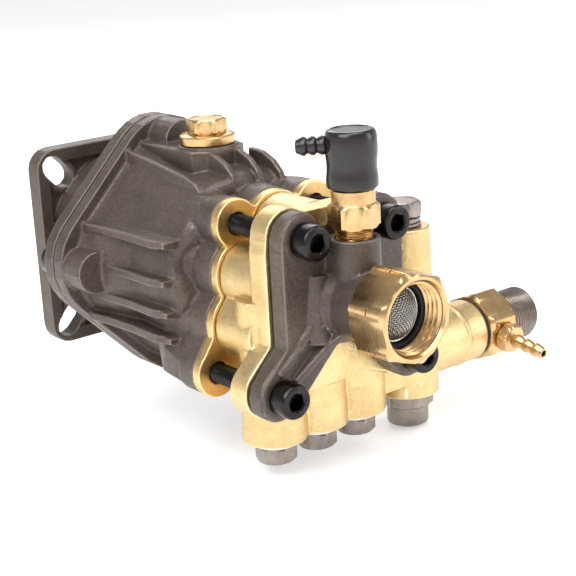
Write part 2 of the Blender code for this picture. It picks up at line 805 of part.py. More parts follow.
def make_head():
    body = prism(star(collar_edges(0.0)), HEAD_FLANGE_BACK - 1, HEAD_BACK)
    edges = flange_edges(0.6, FLANGE_TOP) + [box_edge(30.0, -36.0, 20.0)]
    join(body, prism(star(edges), HEAD_FRONT, HEAD_FLANGE_BACK))
    for x in COLUMN_X:
        join(body, rod(COLUMN_RADIUS, COLUMN_BOTTOM, 0.0, "Z", (x, COLUMN_Y, 0), 24))
    at = (UNLOADER_X, COLUMN_Y, 0)
    join(body, rod(COLUMN_RADIUS + 0.3, COLUMN_BOTTOM, UNLOADER_TOP, "Z", at, 24, UNLOADER_TOP_RADIUS))
    join(body, block((20.0, COLUMN_Y - 9.0, -50.0), (UNLOADER_X, COLUMN_Y + 9.0, -10.0)))
    join(body, rod(OUTLET_RADIUS, UNLOADER_X, OUTLET_END, "X", (0, COLUMN_Y, OUTLET_Z), 24))
    spaces = holes(PLUNGERS, CYLINDER_RADIUS, CYLINDER_FLOOR, -110, 16)
    spaces += holes(PLUNGERS, SEAL_RADIUS + GAP, SEAL_FLOOR, -110, 16)
    spaces += holes(PLUNGERS, INLET_PORT, -170, CYLINDER_FLOOR + 2, 16)
    spaces += holes(COVER_SCREWS, SCREW_HOLE, -170, -110)
    for x, top in zip(COLUMN_X, (-10.0, 20.0, -10.0)):
        at = (x, COLUMN_Y, 0)
        spaces.append(rod(VALVE_BORE, COLUMN_BOTTOM - 2, VALVE_SEAT, "Z", at, 16))
        spaces.append(rod(VALVE_PORT, VALVE_SEAT - 2, top, "Z", at, 12))
    at = (UNLOADER_X, COLUMN_Y, 0)
    spaces.append(rod(VALVE_BORE, UNLOADER_FLOOR, UNLOADER_TOP + 2, "Z", at, 16))
    spaces.append(rod(3.0, VALVE_SEAT - 2, UNLOADER_FLOOR + 2, "Z", at, 16))
    spaces.append(rod(VALVE_BORE, COLUMN_BOTTOM - 2, VALVE_SEAT, "Z", at, 16))
    gallery = (0, COLUMN_Y, OUTLET_Z)
    spaces.append(rod(GALLERY_RADIUS, COLUMN_X[0], OUTLET_END + 2, "X", gallery, 14))
    spaces.append(rod(SPIGOT_RADIUS + GAP, OUTLET_END - 13.0, OUTLET_END + 2, "X", gallery, 16))
    cut(body, *spaces)
    finished(body, "pump_head", "brass")


def make_valves():
    for number, x in enumerate(COLUMN_X, 1):
        at = (x, COLUMN_Y, 0)
        plug = rod(VALVE_BORE - GAP, COLUMN_BOTTOM + 9.5, PLUG_HEX_TOP - 1, "Z", at, 16)
        join(plug, prism(polygon(PLUG_CORNER, 6, 0.2), PLUG_BOTTOM, PLUG_HEX_TOP, "Z", at))
        finished(plug, f"valve_plug_{number}", "steel")
        washer = ring(VALVE_BORE, 8.8, PLUG_HEX_TOP + GAP, COLUMN_BOTTOM - GAP, "Z", at, 24)
        finished(washer, f"valve_plug_washer_{number}", "bright_steel")
        poppet = turned(
            [
                (0, VALVE_SEAT - GAP),
                (5.4, VALVE_SEAT - GAP),
                (5.4, VALVE_SEAT - 3.0),
                (2.5, VALVE_SEAT - 3.0),
                (2.5, VALVE_SEAT - 7.5),
                (0, VALVE_SEAT - 7.5),
            ],
            "Z",
            at,
            16,
        )
        finished(poppet, f"discharge_valve_{number}", "bright_steel")
    for number, (x, z) in enumerate(PLUNGERS, 1):
        poppet = turned(
            [
                (0, CYLINDER_FLOOR + 2.3),
                (6.0, CYLINDER_FLOOR + 2.3),
                (6.0, CYLINDER_FLOOR + GAP),
                (1.6, CYLINDER_FLOOR + GAP),
                (1.6, CYLINDER_FLOOR - 3.0),
                (0, CYLINDER_FLOOR - 3.0),
            ],
            at=(x, 0, z),
            steps=20,
        )
        finished(poppet, f"inlet_valve_{number}", "bright_steel")


def make_unloader():
    at = (UNLOADER_X, COLUMN_Y, 0)
    cap = rod(VALVE_BORE - GAP, UNLOADER_TOP - 5.0, UNLOADER_TOP + 4.0, "Z", at, 16)
    join(cap, ring(3.0, 7.4, UNLOADER_TOP + GAP, UNLOADER_TOP + 3.6, "Z", at, 24))
    join(cap, prism(polygon(7.9, 6, 0.3), UNLOADER_TOP + 3.0, UNLOADER_CAP_TOP, "Z", at))
    finished(cap, "unloader_cap", "steel")
    piston = turned(
        [
            (0, UNLOADER_FLOOR + 8.0),
            (VALVE_BORE - GAP, UNLOADER_FLOOR + 8.0),
            (VALVE_BORE - GAP, UNLOADER_FLOOR + 2.0),
            (2.2, UNLOADER_FLOOR + 2.0),
            (2.2, UNLOADER_FLOOR - 3.0),
            (0, UNLOADER_FLOOR - 3.0),
        ],
        "Z",
        at,
        16,
    )
    finished(piston, "unloader_piston", "bright_steel")
    spring = coil(4.6, 0.9, 3, UNLOADER_FLOOR + 8.0 + GAP, UNLOADER_TOP - 5.0 - GAP, "Z")
    spring.location = [value * MM for value in at]
    finished(spring, "unloader_spring", "spring_steel")
    thermal = rod(8.4, THERMAL_BOTTOM, COLUMN_BOTTOM - 3.0, "Z", at, 24)
    join(thermal, prism(polygon(10.7, 6, 0.15), COLUMN_BOTTOM - 6.0, COLUMN_BOTTOM - GAP, "Z", at))
    join(thermal, rod(VALVE_BORE - GAP, COLUMN_BOTTOM - 2, COLUMN_BOTTOM + 10, "Z", at, 16))
    finished(thermal, "thermal_valve", "steel")


def make_cover():
    gasket = prism(star(flange_edges(-0.6, COVER_TOP - 0.6)), COVER_BACK + GAP, HEAD_FRONT - GAP)
    chamber = rod(CHAMBER_RADIUS, -170, -140, "Y", (0, 0, 1.0), 24)
    arch = rod(ARCH_RADIUS, -170, -140, "Y", (0, 0, ARCH_Z), 24)
    cut(gasket, chamber, arch, *holes(COVER_SCREWS, SCREW_HOLE, -170, -140, 12))
    finished(gasket, "inlet_gasket", "gasket")

    body = prism(star(flange_edges(0.0, COVER_TOP)), COVER_FRONT, COVER_BACK)
    cut(body, rod(ARCH_RADIUS, -170, -140, "Y", (0, 0, ARCH_Z), 24))
    join(body, rod(HUB_RADIUS, HUB_FRONT, COVER_FRONT + 1, "Y", (0, 0, INLET_Z), 24))
    join(body, rod(RELIEF_BOSS_RADIUS, 0.0, RELIEF_BOSS_TOP, "Z", (0, RELIEF_Y, 0), 20))
    cut(
        body,
        rod(CHAMBER_RADIUS, COVER_FRONT + 2.6, COVER_BACK + 2, "Y", (0, 0, 1.0), 24),
        rod(TAILPIECE_RADIUS + GAP, HUB_FRONT - 2, COVER_FRONT + 5, "Y", (0, 0, INLET_Z), 24),
        rod(RELIEF_THREAD + GAP, 14.0, RELIEF_BOSS_TOP + 2, "Z", (0, RELIEF_Y, 0), 16),
        rod(2.5, 2.0, 16.0, "Z", (0, RELIEF_Y, 0), 16),
        *holes(COVER_SCREWS, SCREW_HOLE, -170, -140),
    )
    finished(body, "inlet_cover", "casting")


def make_inlet():
    at = (0, 0, INLET_Z)
    tail = turned(
        [
            (TAILPIECE_BORE, HUB_FRONT + 12),
            (TAILPIECE_RADIUS, HUB_FRONT + 12),
            (TAILPIECE_RADIUS, NUT_LIP_FRONT - GAP),
            (TAILPIECE_FLANGE, NUT_LIP_FRONT - GAP),
            (TAILPIECE_FLANGE, NUT_LIP_FRONT - 2.0),
            (TAILPIECE_BORE, NUT_LIP_FRONT - 2.0),
        ],
        at=at,
    )
    finished(tail, "inlet_tailpiece", "machined_brass")
    nut = prism(polygon(NUT_CORNER, 6, math.radians(43)), NUT_FRONT, HUB_FRONT - GAP, "Y", at)
    cut(
        nut,
        rod(NUT_BORE, NUT_FRONT - 2, NUT_LIP_FRONT, "Y", at, 28),
        rod(TAILPIECE_RADIUS + GAP, NUT_LIP_FRONT - 2, HUB_FRONT + 5, "Y", at, 28),
    )
    finished(nut, "hose_nut", "machined_brass")
    washer_back = NUT_LIP_FRONT - 2.0 - GAP
    washer = ring(SCREEN_RADIUS + GAP, NUT_BORE - GAP, washer_back - 3.0, washer_back, "Y", at)
    finished(washer, "hose_washer", "rubber")
    rim = washer_back - GAP
    outer = [(SCREEN_RADIUS * math.sin(a), rim - SCREEN_RISE * math.cos(a)) for a in SCREEN_ANGLES]
    inner = [((r - 0.6) if r else 0, y + 0.6) for r, y in outer[:-1]]
    rim_ring = [(SCREEN_RADIUS, rim), (SCREEN_RADIUS - 0.6, rim)]
    screen = turned(inner + list(reversed(rim_ring)) + list(reversed(outer[:-1])), at=at)
    finished(screen, "inlet_screen", "bright_steel")


def make_relief_valve():
    at = (0, RELIEF_Y, 0)
    body = turned(
        [
            (0, RELIEF_TOP),
            (RELIEF_SPIGOT, RELIEF_TOP),
            (RELIEF_SPIGOT, RELIEF_CAP_BOTTOM - GAP),
            (RELIEF_COLLAR, RELIEF_CAP_BOTTOM - GAP),
            (RELIEF_COLLAR, RELIEF_HEX_TOP - 1),
            (RELIEF_THREAD, RELIEF_HEX_TOP - 1),
            (RELIEF_THREAD, 14.0 + GAP),
            (0, 14.0 + GAP),
        ],
        "Z",
        at,
    )
    hexagon = polygon(RELIEF_HEX_CORNER, 6, math.radians(20))
    join(body, prism(hexagon, RELIEF_HEX_BOTTOM, RELIEF_HEX_TOP, "Z", at))
    cut(body, rod(RELIEF_BORE, 10, 60, "Z", at, 16))
    finished(body, "relief_valve_body", "machined_brass")

    cap = turned(
        [
            (0, RELIEF_CAP_TOP),
            (8.6, RELIEF_CAP_TOP),
            (9.35, RELIEF_CAP_TOP - 0.8),
            (8.6, RELIEF_CAP_BOTTOM),
            (RELIEF_SPIGOT + GAP, RELIEF_CAP_BOTTOM),
            (RELIEF_SPIGOT + GAP, RELIEF_BARB_Z + 1),
            (0, RELIEF_BARB_Z + 1),
        ],
        "Z",
        at,
    )
    barb = barb_profile(5.5, RELIEF_BARB_REACH, 2.3, 3.1)
    stem = turned(barb, "Z", (0, 0, 0), 14)
    direction = Vector((-0.8, 0.6, 0))
    stem.rotation_euler = direction.to_track_quat("Z", "Y").to_euler()
    stem.location = (0, RELIEF_Y * MM, RELIEF_BARB_Z * MM)
    bore = rod(1.4, 0, RELIEF_BARB_REACH + 2, "Z", (0, 0, 0), 12)
    bore.rotation_euler = stem.rotation_euler
    bore.location = stem.location
    cut(join(cap, stem), bore)
    finished(cap, "relief_hose_elbow", "black_plastic")


def barb_profile(start, end, neck, ridge):
    """A hose barb with three ridges, as a solid turned profile from its tip back."""
    pitch = (end - start - 2.0) / 3
    points = [(0, end), (ridge - 0.9, end)]
    for i in range(3):
        back = end - (i + 1) * pitch
        points.append((ridge, back + 0.4))
        points.append((neck, back))
    points.append((neck, start))
    points.append((0, start))
    return points


def make_injector():
    at = (0, COLUMN_Y, OUTLET_Z)
    start = OUTLET_END + 1.6
    turn = math.pi + BARB_DROOP + math.pi / 6
    body = prism(polygon(INJECTOR_CORNER, 6, turn), start, INJECTOR_END, "X", at)
    join(body, rod(SPIGOT_RADIUS, OUTLET_END - 12.0, start + 1, "X", at, 16))
    nipple_bore = rod(NIPPLE_SPIGOT + GAP, NIPPLE_BACK - GAP, INJECTOR_END + 2, "X", at, 16)
    flow = rod(2.8, OUTLET_END - 20, INJECTOR_END, "X", at, 16)
    port = rod(BARB_SPIGOT + GAP, 3.0, 20.0, "Z", (0, 0, 0), 14)
    along_barb(port)
    cut(body, nipple_bore, flow, port)
    finished(body, "injector_body", "machined_brass")
    seal = ring(SPIGOT_RADIUS + GAP, OUTLET_RADIUS - 0.2, OUTLET_END + GAP, start - GAP, "X", at, 20)
    finished(seal, "outlet_seal_ring", "rubber")
    nipple = turned(
        [
            (NIPPLE_BORE, OUTLET_FACE),
            (M22_RADIUS - 1.0, OUTLET_FACE),
            (M22_RADIUS, OUTLET_FACE - 1.0),
            (M22_RADIUS, INJECTOR_END + GAP),
            (NIPPLE_SPIGOT, INJECTOR_END + GAP),
            (NIPPLE_SPIGOT, NIPPLE_BACK),
            (NIPPLE_BORE, NIPPLE_BACK),
        ],
        "X",
        at,
        28,
    )
    finished(nipple, "outlet_thread", "steel")
    flat = INJECTOR_CORNER * math.cos(math.pi / 6)
    barb = turned(barb_profile(flat + 4.0, BARB_END, 2.0, 2.9), "Z", (0, 0, 0), 14)
    base = prism(polygon(6.4, 6, 0.3), flat + GAP, flat + 5.5, "Z")
    neck = rod(BARB_SPIGOT, 6.0, flat + 1.0, "Z", (0, 0, 0), 14)
    chamber = rod(BALL_CHAMBER, 4.0, flat - 0.5, "Z", (0, 0, 0), 14)
    bore = rod(1.3, 5.0, BARB_END + 3, "Z", (0, 0, 0), 12)
    for piece in (barb, base, neck, chamber, bore):
        along_barb(piece)
    cut(join(barb, base, neck), chamber, bore)
    finished(barb, "injector_barb", "machined_brass")
    shape = bmesh.new()
    bmesh.ops.create_uvsphere(shape, u_segments=10, v_segments=6, radius=INJECTOR_BALL * MM)
    bmesh.ops.translate(shape, vec=(0, 0, (flat - 0.8 - INJECTOR_BALL) * MM), verts=shape.verts)
    mesh = bpy.data.meshes.new("ball")
    shape.to_mesh(mesh)
    shape.free()
    ball = helper("ball", mesh)
    along_barb(ball)
    finished(ball, "injector_ball", "bright_steel")


def along_barb(piece):
    """Stand a piece made about Z at the injector's axis, pointing out along the barb."""
    direction = Vector((0, -math.cos(BARB_DROOP), -math.sin(BARB_DROOP)))
    turn = direction.to_track_quat("Z", "X").to_matrix().to_4x4()
    place = Matrix.Translation((BARB_X * MM, COLUMN_Y * MM, OUTLET_Z * MM))
    piece.matrix_world = place @ turn @ piece.matrix_basis


make_adapter()
make_case_gasket()
make_crankcase()
make_case_screws()
make_cover_screws()
make_oil_plug()
make_drive_shaft()
make_swash_rings()
make_shaft_bearing()
make_shaft_seal()
make_plungers()
make_retainer()
make_head()
make_valves()
make_unloader()
make_cover()
make_inlet()
make_relief_valve()
make_injector()
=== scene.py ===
"""Looks of the pressure washer pump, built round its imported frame.

Sizes are in millimetres and turned into metres when a mesh is made. Each casting starts from its
CAD solid, gains its cast ribs and lobes, and is remeshed so that its edges are rounded. Each
turned or milled piece is a lathe profile whose rings may be cut to a hexagon or a thread.
"""

import math

import bmesh
import bpy
from mathutils import Matrix, Vector


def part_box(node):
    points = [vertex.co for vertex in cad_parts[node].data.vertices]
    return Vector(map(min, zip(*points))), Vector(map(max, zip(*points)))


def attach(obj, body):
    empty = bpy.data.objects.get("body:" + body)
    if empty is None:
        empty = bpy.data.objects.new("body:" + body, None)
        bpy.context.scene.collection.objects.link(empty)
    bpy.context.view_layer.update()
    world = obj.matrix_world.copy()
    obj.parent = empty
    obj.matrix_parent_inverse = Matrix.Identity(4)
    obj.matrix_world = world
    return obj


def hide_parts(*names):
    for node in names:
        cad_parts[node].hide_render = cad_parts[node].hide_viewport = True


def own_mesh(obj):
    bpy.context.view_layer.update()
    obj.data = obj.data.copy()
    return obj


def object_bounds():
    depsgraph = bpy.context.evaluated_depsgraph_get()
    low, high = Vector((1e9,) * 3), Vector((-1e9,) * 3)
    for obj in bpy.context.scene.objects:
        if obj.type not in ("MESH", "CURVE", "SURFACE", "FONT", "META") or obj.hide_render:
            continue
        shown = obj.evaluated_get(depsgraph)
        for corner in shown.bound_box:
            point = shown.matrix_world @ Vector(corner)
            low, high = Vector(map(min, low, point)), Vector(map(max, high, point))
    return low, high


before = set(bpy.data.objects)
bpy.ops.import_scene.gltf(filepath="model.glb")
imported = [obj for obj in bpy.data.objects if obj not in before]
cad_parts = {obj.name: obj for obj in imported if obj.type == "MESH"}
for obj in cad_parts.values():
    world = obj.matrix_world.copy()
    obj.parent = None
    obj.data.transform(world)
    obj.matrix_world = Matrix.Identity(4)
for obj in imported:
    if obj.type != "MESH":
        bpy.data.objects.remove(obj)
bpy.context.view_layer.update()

MM = 0.001
ROOT = "pump_body"

# Camera, in metres and degrees
CAMERA_PLACE = (-0.33096, -0.52922, 0.15399)
CAMERA_AZIMUTH = -38.69
CAMERA_ELEVATION = 16.65
CAMERA_ROLL = -3.13
CAMERA_LENS = 90.99


# ---------------------------------------------------------------- measuring the frame

def box(node):
    """Lowest and highest corner of a CAD node, in millimetres."""
    low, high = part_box(node)
    return low / MM, high / MM


def middle(node):
    low, high = box(node)
    return (low + high) / 2


# ---------------------------------------------------------------- node materials

NOISE_ROUGHNESS = 0.6

def new_material(name):
    found = bpy.data.materials.new(name)
    found.use_nodes = True
    nodes = found.node_tree.nodes
    return found, nodes, found.node_tree.links, nodes["Principled BSDF"]


def texture(nodes, links, scale, detail, stretch=(1, 1, 1)):
    """A noise texture in the row frame; a small stretch lengthens its grains along that axis."""
    place = nodes.new("ShaderNodeTexCoord")
    mapping = nodes.new("ShaderNodeMapping")
    mapping.inputs["Scale"].default_value = stretch
    links.new(place.outputs["Object"], mapping.inputs["Vector"])
    grain = nodes.new("ShaderNodeTexNoise")
    grain.inputs["Scale"].default_value = scale
    grain.inputs["Detail"].default_value = detail
    grain.inputs["Roughness"].default_value = NOISE_ROUGHNESS
    links.new(mapping.outputs["Vector"], grain.inputs["Vector"])
    return grain


def ramp(nodes, links, source, stops):
    """A colour ramp: stops are (position, colour)."""
    made = nodes.new("ShaderNodeValToRGB")
    elements = made.color_ramp.elements
    while len(elements) < len(stops):
        elements.new(0.5)
    for element, (position, colour) in zip(elements, stops):
        element.position = position
        element.color = (*colour, 1)
    links.new(source, made.inputs["Fac"])
    return made


def spread(nodes, links, source, low, high, start=0.3, end=0.7):
    """Map a noise value to a range, for roughness."""
    made = nodes.new("ShaderNodeMapRange")
    made.inputs["From Min"].default_value = start
    made.inputs["From Max"].default_value = end
    made.inputs["To Min"].default_value = low
    made.inputs["To Max"].default_value = high
    links.new(source, made.inputs["Value"])
    return made.outputs["Result"]


def bump(nodes, links, sources, shader):
    """Chain bumps: sources are (height output, strength, distance in millimetres)."""
    normal = None
    for height, strength, distance in sources:
        made = nodes.new("ShaderNodeBump")
        made.inputs["Strength"].default_value = strength
        made.inputs["Distance"].default_value = distance * MM
        links.new(height, made.inputs["Height"])
        if normal:
            links.new(normal, made.inputs["Normal"])
        normal = made.outputs["Normal"]
    links.new(normal, shader.inputs["Normal"])


def mixed(nodes, links, factor, low, high, blend="MIX"):
    made = nodes.new("ShaderNodeMix")
    made.data_type = "RGBA"
    made.blend_type = blend
    for socket, value in (("Factor", factor), ("A", low), ("B", high)):
        target = next(s for s in made.inputs if s.name == socket and s.enabled)
        if isinstance(value, bpy.types.NodeSocket):
            links.new(value, target)
        elif socket == "Factor":
            target.default_value = value
        else:
            target.default_value = (*value, 1)
    return next(s for s in made.outputs if s.enabled)


def edge_wear_and_highlight(nodes, links, start, end):
    """How strongly a point sits on a raised edge, from 0 to 1: the mask for rubbed metal and for a
    painted highlight on lit edges.
    """
    geometry = nodes.new("ShaderNodeNewGeometry")
    return spread(nodes, links, geometry.outputs["Pointiness"], 0, 1, start, end)


# Where the Pointiness of an edge starts and ends to show as rubbed metal with a painted highlight
WORN_AND_LIT_EDGE = (0.512, 0.556)
SPECK_STOPS = [(0.34, (0.60, 0.60, 0.60)), (0.60, (1.08, 1.08, 1.08))]


def cast_material(name, dark, light, edge, roughness, metallic, pit, speckle):
    """A sand-cast and blasted surface: mottled tone, fine pits, and raised edges painted brighter,
    partly as rubbed metal and partly as a painted highlight.
    """
    made, nodes, links, shader = new_material(name)
    mottle = texture(nodes, links, scale=55, detail=6)
    grain = texture(nodes, links, scale=1100, detail=3)
    swell = texture(nodes, links, scale=260, detail=4)
    tone = ramp(nodes, links, mottle.outputs["Fac"], [(0.32, dark), (0.68, light)])
    speck = ramp(nodes, links, grain.outputs["Fac"], SPECK_STOPS)
    colours = tone.outputs["Color"], speck.outputs["Color"]
    speckled = mixed(nodes, links, speckle, *colours, "MULTIPLY")
    # Raised edges take the edge colour: partly rubbed metal, partly a painted highlight where
    # light catches them
    rubbed_and_lit = mixed(nodes, links, edge_wear_and_highlight(nodes, links, *WORN_AND_LIT_EDGE), speckled, edge)
    links.new(rubbed_and_lit, shader.inputs["Base Color"])
    shader.inputs["Metallic"].default_value = metallic
    rough = spread(nodes, links, swell.outputs["Fac"], roughness - 0.06, roughness + 0.10)
    links.new(rough, shader.inputs["Roughness"])
    heights = [(swell.outputs["Fac"], 0.35, 0.35), (grain.outputs["Fac"], 0.55, pit)]
    bump(nodes, links, heights, shader)
    return made


# How little a tool mark changes along its own ring, against 1 across the rings
RING_STRETCH = 0.02


def turned_material(name, dark, light, roughness, axis, marks):
    """Metal cut on a lathe: fine rings round the axis and a little tarnish."""
    made, nodes, links, shader = new_material(name)
    stretch = [RING_STRETCH] * 3
    stretch["XYZ".index(axis)] = 1.0
    rings = texture(nodes, links, scale=3200, detail=2, stretch=stretch)
    tarnish = texture(nodes, links, scale=140, detail=5)
    tone = ramp(nodes, links, tarnish.outputs["Fac"], [(0.30, dark), (0.65, light)])
    links.new(tone.outputs["Color"], shader.inputs["Base Color"])
    shader.inputs["Metallic"].default_value = 1.0
    rough = spread(nodes, links, rings.outputs["Fac"], roughness - 0.02, roughness + 0.05)
    links.new(rough, shader.inputs["Roughness"])
    heights = [(rings.outputs["Fac"], 0.3, marks), (tarnish.outputs["Fac"], 0.10, 0.05)]
    bump(nodes, links, heights, shader)
    return made


def moulded_material(name, dark, light, roughness, grain_scale, depth):
    """Rubber, plastic or gasket board: faint mottle and a fine moulded grain."""
    made, nodes, links, shader = new_material(name)
    mottle = texture(nodes, links, scale=120, detail=4)
    grain = texture(nodes, links, scale=grain_scale, detail=3)
    tone = ramp(nodes, links, mottle.outputs["Fac"], [(0.35, dark), (0.7, light)])
    links.new(tone.outputs["Color"], shader.inputs["Base Color"])
    rough = spread(nodes, links, grain.outputs["Fac"], roughness - 0.07, roughness + 0.10)
    links.new(rough, shader.inputs["Roughness"])
    bump(nodes, links, [(grain.outputs["Fac"], 0.5, depth)], shader)
    return made


# Dark, light and, for the castings, edge colours: rubbed metal with a painted highlight on lit
# edges
IRON = (0.080, 0.060, 0.048), (0.118, 0.092, 0.075), (0.215, 0.180, 0.150)
CAST_BRASS = (0.64, 0.46, 0.21), (0.80, 0.61, 0.32), (0.90, 0.76, 0.50)
PLATE_BRASS = (0.66, 0.43, 0.17), (0.80, 0.56, 0.26), (0.92, 0.70, 0.38)
RUBBER = (0.012, 0.012, 0.012), (0.022, 0.021, 0.020)
PLASTIC = (0.012, 0.009, 0.008), (0.018, 0.014, 0.012)
ACETAL = (0.50, 0.48, 0.45), (0.60, 0.58, 0.55)
GASKET = (0.05, 0.055, 0.05), (0.09, 0.10, 0.09)
WIRE = (0.42, 0.41, 0.39), (0.60, 0.58, 0.55)
WASHER = (0.62, 0.61, 0.59), (0.74, 0.73, 0.71)
TURNED_BRASS = (0.52, 0.33, 0.15), (0.70, 0.48, 0.24)
PLATED_STEEL = (0.20, 0.175, 0.16), (0.33, 0.295, 0.27)
BRIGHT_STEEL = (0.52, 0.51, 0.49), (0.66, 0.65, 0.62)
BLACK_OXIDE = (0.022, 0.021, 0.021), (0.040, 0.037, 0.036)


def make_materials():
    made = {}

    def cast(name, colours, **settings):
        made[name] = cast_material(name, *colours, **settings)

    def moulded(name, colours, **settings):
        made[name] = moulded_material(name, *colours, **settings)

    def turned(name, colours, roughness, axis, marks):
        made[name] = turned_material(name, *colours, roughness, axis, marks)

    cast("casting", IRON, roughness=0.42, metallic=0.40, pit=0.30, speckle=0.75)
    cast("cast_brass", CAST_BRASS, roughness=0.38, metallic=1.0, pit=0.34, speckle=0.30)
    cast("plate_brass", PLATE_BRASS, roughness=0.34, metallic=1.0, pit=0.05, speckle=0.25)
    moulded("rubber", RUBBER, roughness=0.55, grain_scale=900, depth=0.05)
    moulded("plastic", PLASTIC, roughness=0.20, grain_scale=300, depth=0.002)
    moulded("acetal", ACETAL, roughness=0.40, grain_scale=900, depth=0.03)
    moulded("gasket", GASKET, roughness=0.80, grain_scale=1600, depth=0.10)
    turned("wire", WIRE, 0.30, "Z", marks=0.01)
    turned("washer", WASHER, 0.30, "Z", marks=0.02)
    for axis in "XYZ":
        turned(f"brass_{axis}", TURNED_BRASS, 0.27, axis, marks=0.008)
        turned(f"steel_{axis}", PLATED_STEEL, 0.32, axis, marks=0.02)
        turned(f"bright_{axis}", BRIGHT_STEEL, 0.24, axis, marks=0.02)
        turned(f"oxide_{axis}", BLACK_OXIDE, 0.24, axis, marks=0.01)
    return made


MATERIALS = make_materials()


# ---------------------------------------------------------------- meshes

# Points closer than this are welded, in millimetres
WELD = 0.002
# Edges sharper than this stay sharp, in degrees
CREASE = 32

AXIS_TURN = {
    "X": Matrix.Rotation(math.pi / 2, 4, "Y"),
    "Y": Matrix.Rotation(-math.pi / 2, 4, "X"),
    "Z": Matrix.Identity(4),
}


def mesh_object(name, shape, transform=None):
    """An object from a bmesh in millimetres, welded, facing outward and put in place."""
    bmesh.ops.remove_doubles(shape, verts=shape.verts, dist=WELD)
    bmesh.ops.recalc_face_normals(shape, faces=shape.faces)
    if transform:
        shape.transform(transform)
    bmesh.ops.scale(shape, vec=(MM, MM, MM), verts=shape.verts)
    mesh = bpy.data.meshes.new(name)
    shape.to_mesh(mesh)
    shape.free()
    obj = bpy.data.objects.new(name, mesh)
    bpy.context.scene.collection.objects.link(obj)
    return obj


def show(obj, material, replaced=(), body=ROOT, sharp=CREASE):
    """Shade the piece, give it its material, hang it from its body, and let it stand for its CAD
    nodes.
    """
    obj.data.materials.clear()
    obj.data.materials.append(MATERIALS[material])
    obj.data.shade_smooth()
    if sharp:
        obj.data.set_sharp_from_angle(angle=math.radians(sharp))
    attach(obj, body)
    if replaced:
        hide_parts(*replaced)
    return obj


def hexagon(corner, turn=0.0, rounding=0.0):
    """Limits a ring to a hexagon; the corners are rubbed down by rounding."""
    apothem = corner * math.cos(math.pi / 6)

    def limit(angle, height):
        along = (angle - turn) % (math.pi / 3) - math.pi / 6
        return min(apothem / math.cos(along), corner - rounding)

    return limit


def thread(radius, pitch, depth, start, end, run_out=0.6):
    """Limits a ring to a V thread between two heights, fading out at both ends."""

    def limit(angle, height):
        phase = (height / pitch - angle / (2 * math.pi)) % 1.0
        groove = 1 - abs(2 * phase - 1)
        groove = min(1.0, max(0.0, groove * 1.35 - 0.17))
        fade = min(1.0, max(0.0, min(height - start, end - height) / (run_out * pitch)))
        return radius - depth * groove * fade

    return limit


def steps_between(start, end, count):
    """Profile points from start to end, without start; both are (radius, height, limit)."""
    made = []
    for i in range(1, count + 1):
        share = i / count
        radius = start[0] + (end[0] - start[0]) * share
        height = start[1] + (end[1] - start[1]) * share
        made.append((radius, height, *end[2:]))
    return made


def lathe(name, profile, axis, at, segments=72, shift=0.0):
    """A turned piece. Its profile is a run of (radius, height) or (radius, height, limit).

    It is closed into a ring where neither end is on the axis. shift turns its points, in radians.
    """
    shape = bmesh.new()
    rings = []
    for radius, height, *limit in profile:
        ring = []
        count = 1 if radius == 0 else segments
        for i in range(count):
            angle = 2 * math.pi * i / segments + shift
            reach = min(radius, limit[0](angle, height)) if limit else radius
            spot = reach * math.cos(angle), reach * math.sin(angle), height
            ring.append(shape.verts.new(spot))
        rings.append(ring)
    for low, high in zip(rings, rings[1:]):
        for i in range(segments):
            j = (i + 1) % segments
            corners = [low[i % len(low)], low[j % len(low)]]
            corners += [high[j % len(high)], high[i % len(high)]]
            unique = list(dict.fromkeys(corners))
            if len(unique) > 2:
                shape.faces.new(unique)
    first_radius, last_radius = profile[0][0], profile[-1][0]
    if first_radius and last_radius:
        for i in range(segments):
            j = (i + 1) % segments
            shape.faces.new([rings[-1][i], rings[-1][j], rings[0][j], rings[0][i]])
    turn = AXIS_TURN[axis] if isinstance(axis, str) else axis
    return mesh_object(name, shape, Matrix.Translation(at) @ turn)


def cad_mesh(node):
    """A bmesh copy of a CAD node, in millimetres."""
    shape = bmesh.new()
    shape.from_mesh(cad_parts[node].data)
    bmesh.ops.scale(shape, vec=(1 / MM, 1 / MM, 1 / MM), verts=shape.verts)
    return shape


def casting(name, node, material, slot, voxel, rounds, extras):
    """The CAD solid with its extra cast features, remeshed as one skin with rounded edges."""
    skin = mesh_object(name, cad_mesh(node))
    parts = [skin, *extras]
    with bpy.context.temp_override(active_object=skin, selected_editable_objects=parts):
        bpy.ops.object.join()
    remesh = skin.modifiers.new("skin", "REMESH")
    remesh.mode = "VOXEL"
    remesh.voxel_size = voxel * MM
    remesh.use_smooth_shade = True
    smooth = skin.modifiers.new("rounding", "SMOOTH")
    smooth.factor = 0.5
    smooth.iterations = rounds
    evaluated = skin.evaluated_get(bpy.context.evaluated_depsgraph_get())
    finished = bpy.data.meshes.new_from_object(evaluated)
    skin.modifiers.clear()
    skin.data = finished
    finished.name = name
    show(skin, material, (node,), sharp=0)


# ---------------------------------------------------------------- cast features

def slab(points, thickness):
    """A cast rib: a flat outline of 3-D points, thickened equally to both sides."""
    corners = [Vector(point) for point in points]
    normal = (corners[1] - corners[0]).cross(corners[-1] - corners[0]).normalized()
    across = normal * thickness / 2
    shape = bmesh.new()
    near = [shape.verts.new(corner - across) for corner in corners]
    far = [shape.verts.new(corner + across) for corner in corners]
    for i in range(len(corners)):
        j = (i + 1) % len(corners)
        shape.faces.new((near[i], near[j], far[j], far[i]))
    shape.faces.new(near)
    shape.faces.new(far)
    return mesh_object("rib", shape)


def pipe(start, end, radius, hole, end_radius=None):
    """A round bar between two points, with a hole through it unless the hole is 0."""
    start, end = Vector(start), Vector(end)
    run = end - start
    far = radius if end_radius is None else end_radius
    turn = run.to_track_quat("Z", "Y").to_matrix().to_4x4()
    profile = [(hole, 0), (radius, 0), (far, run.length), (hole, run.length)]
    return lathe("pipe", profile, turn, start, segments=96)


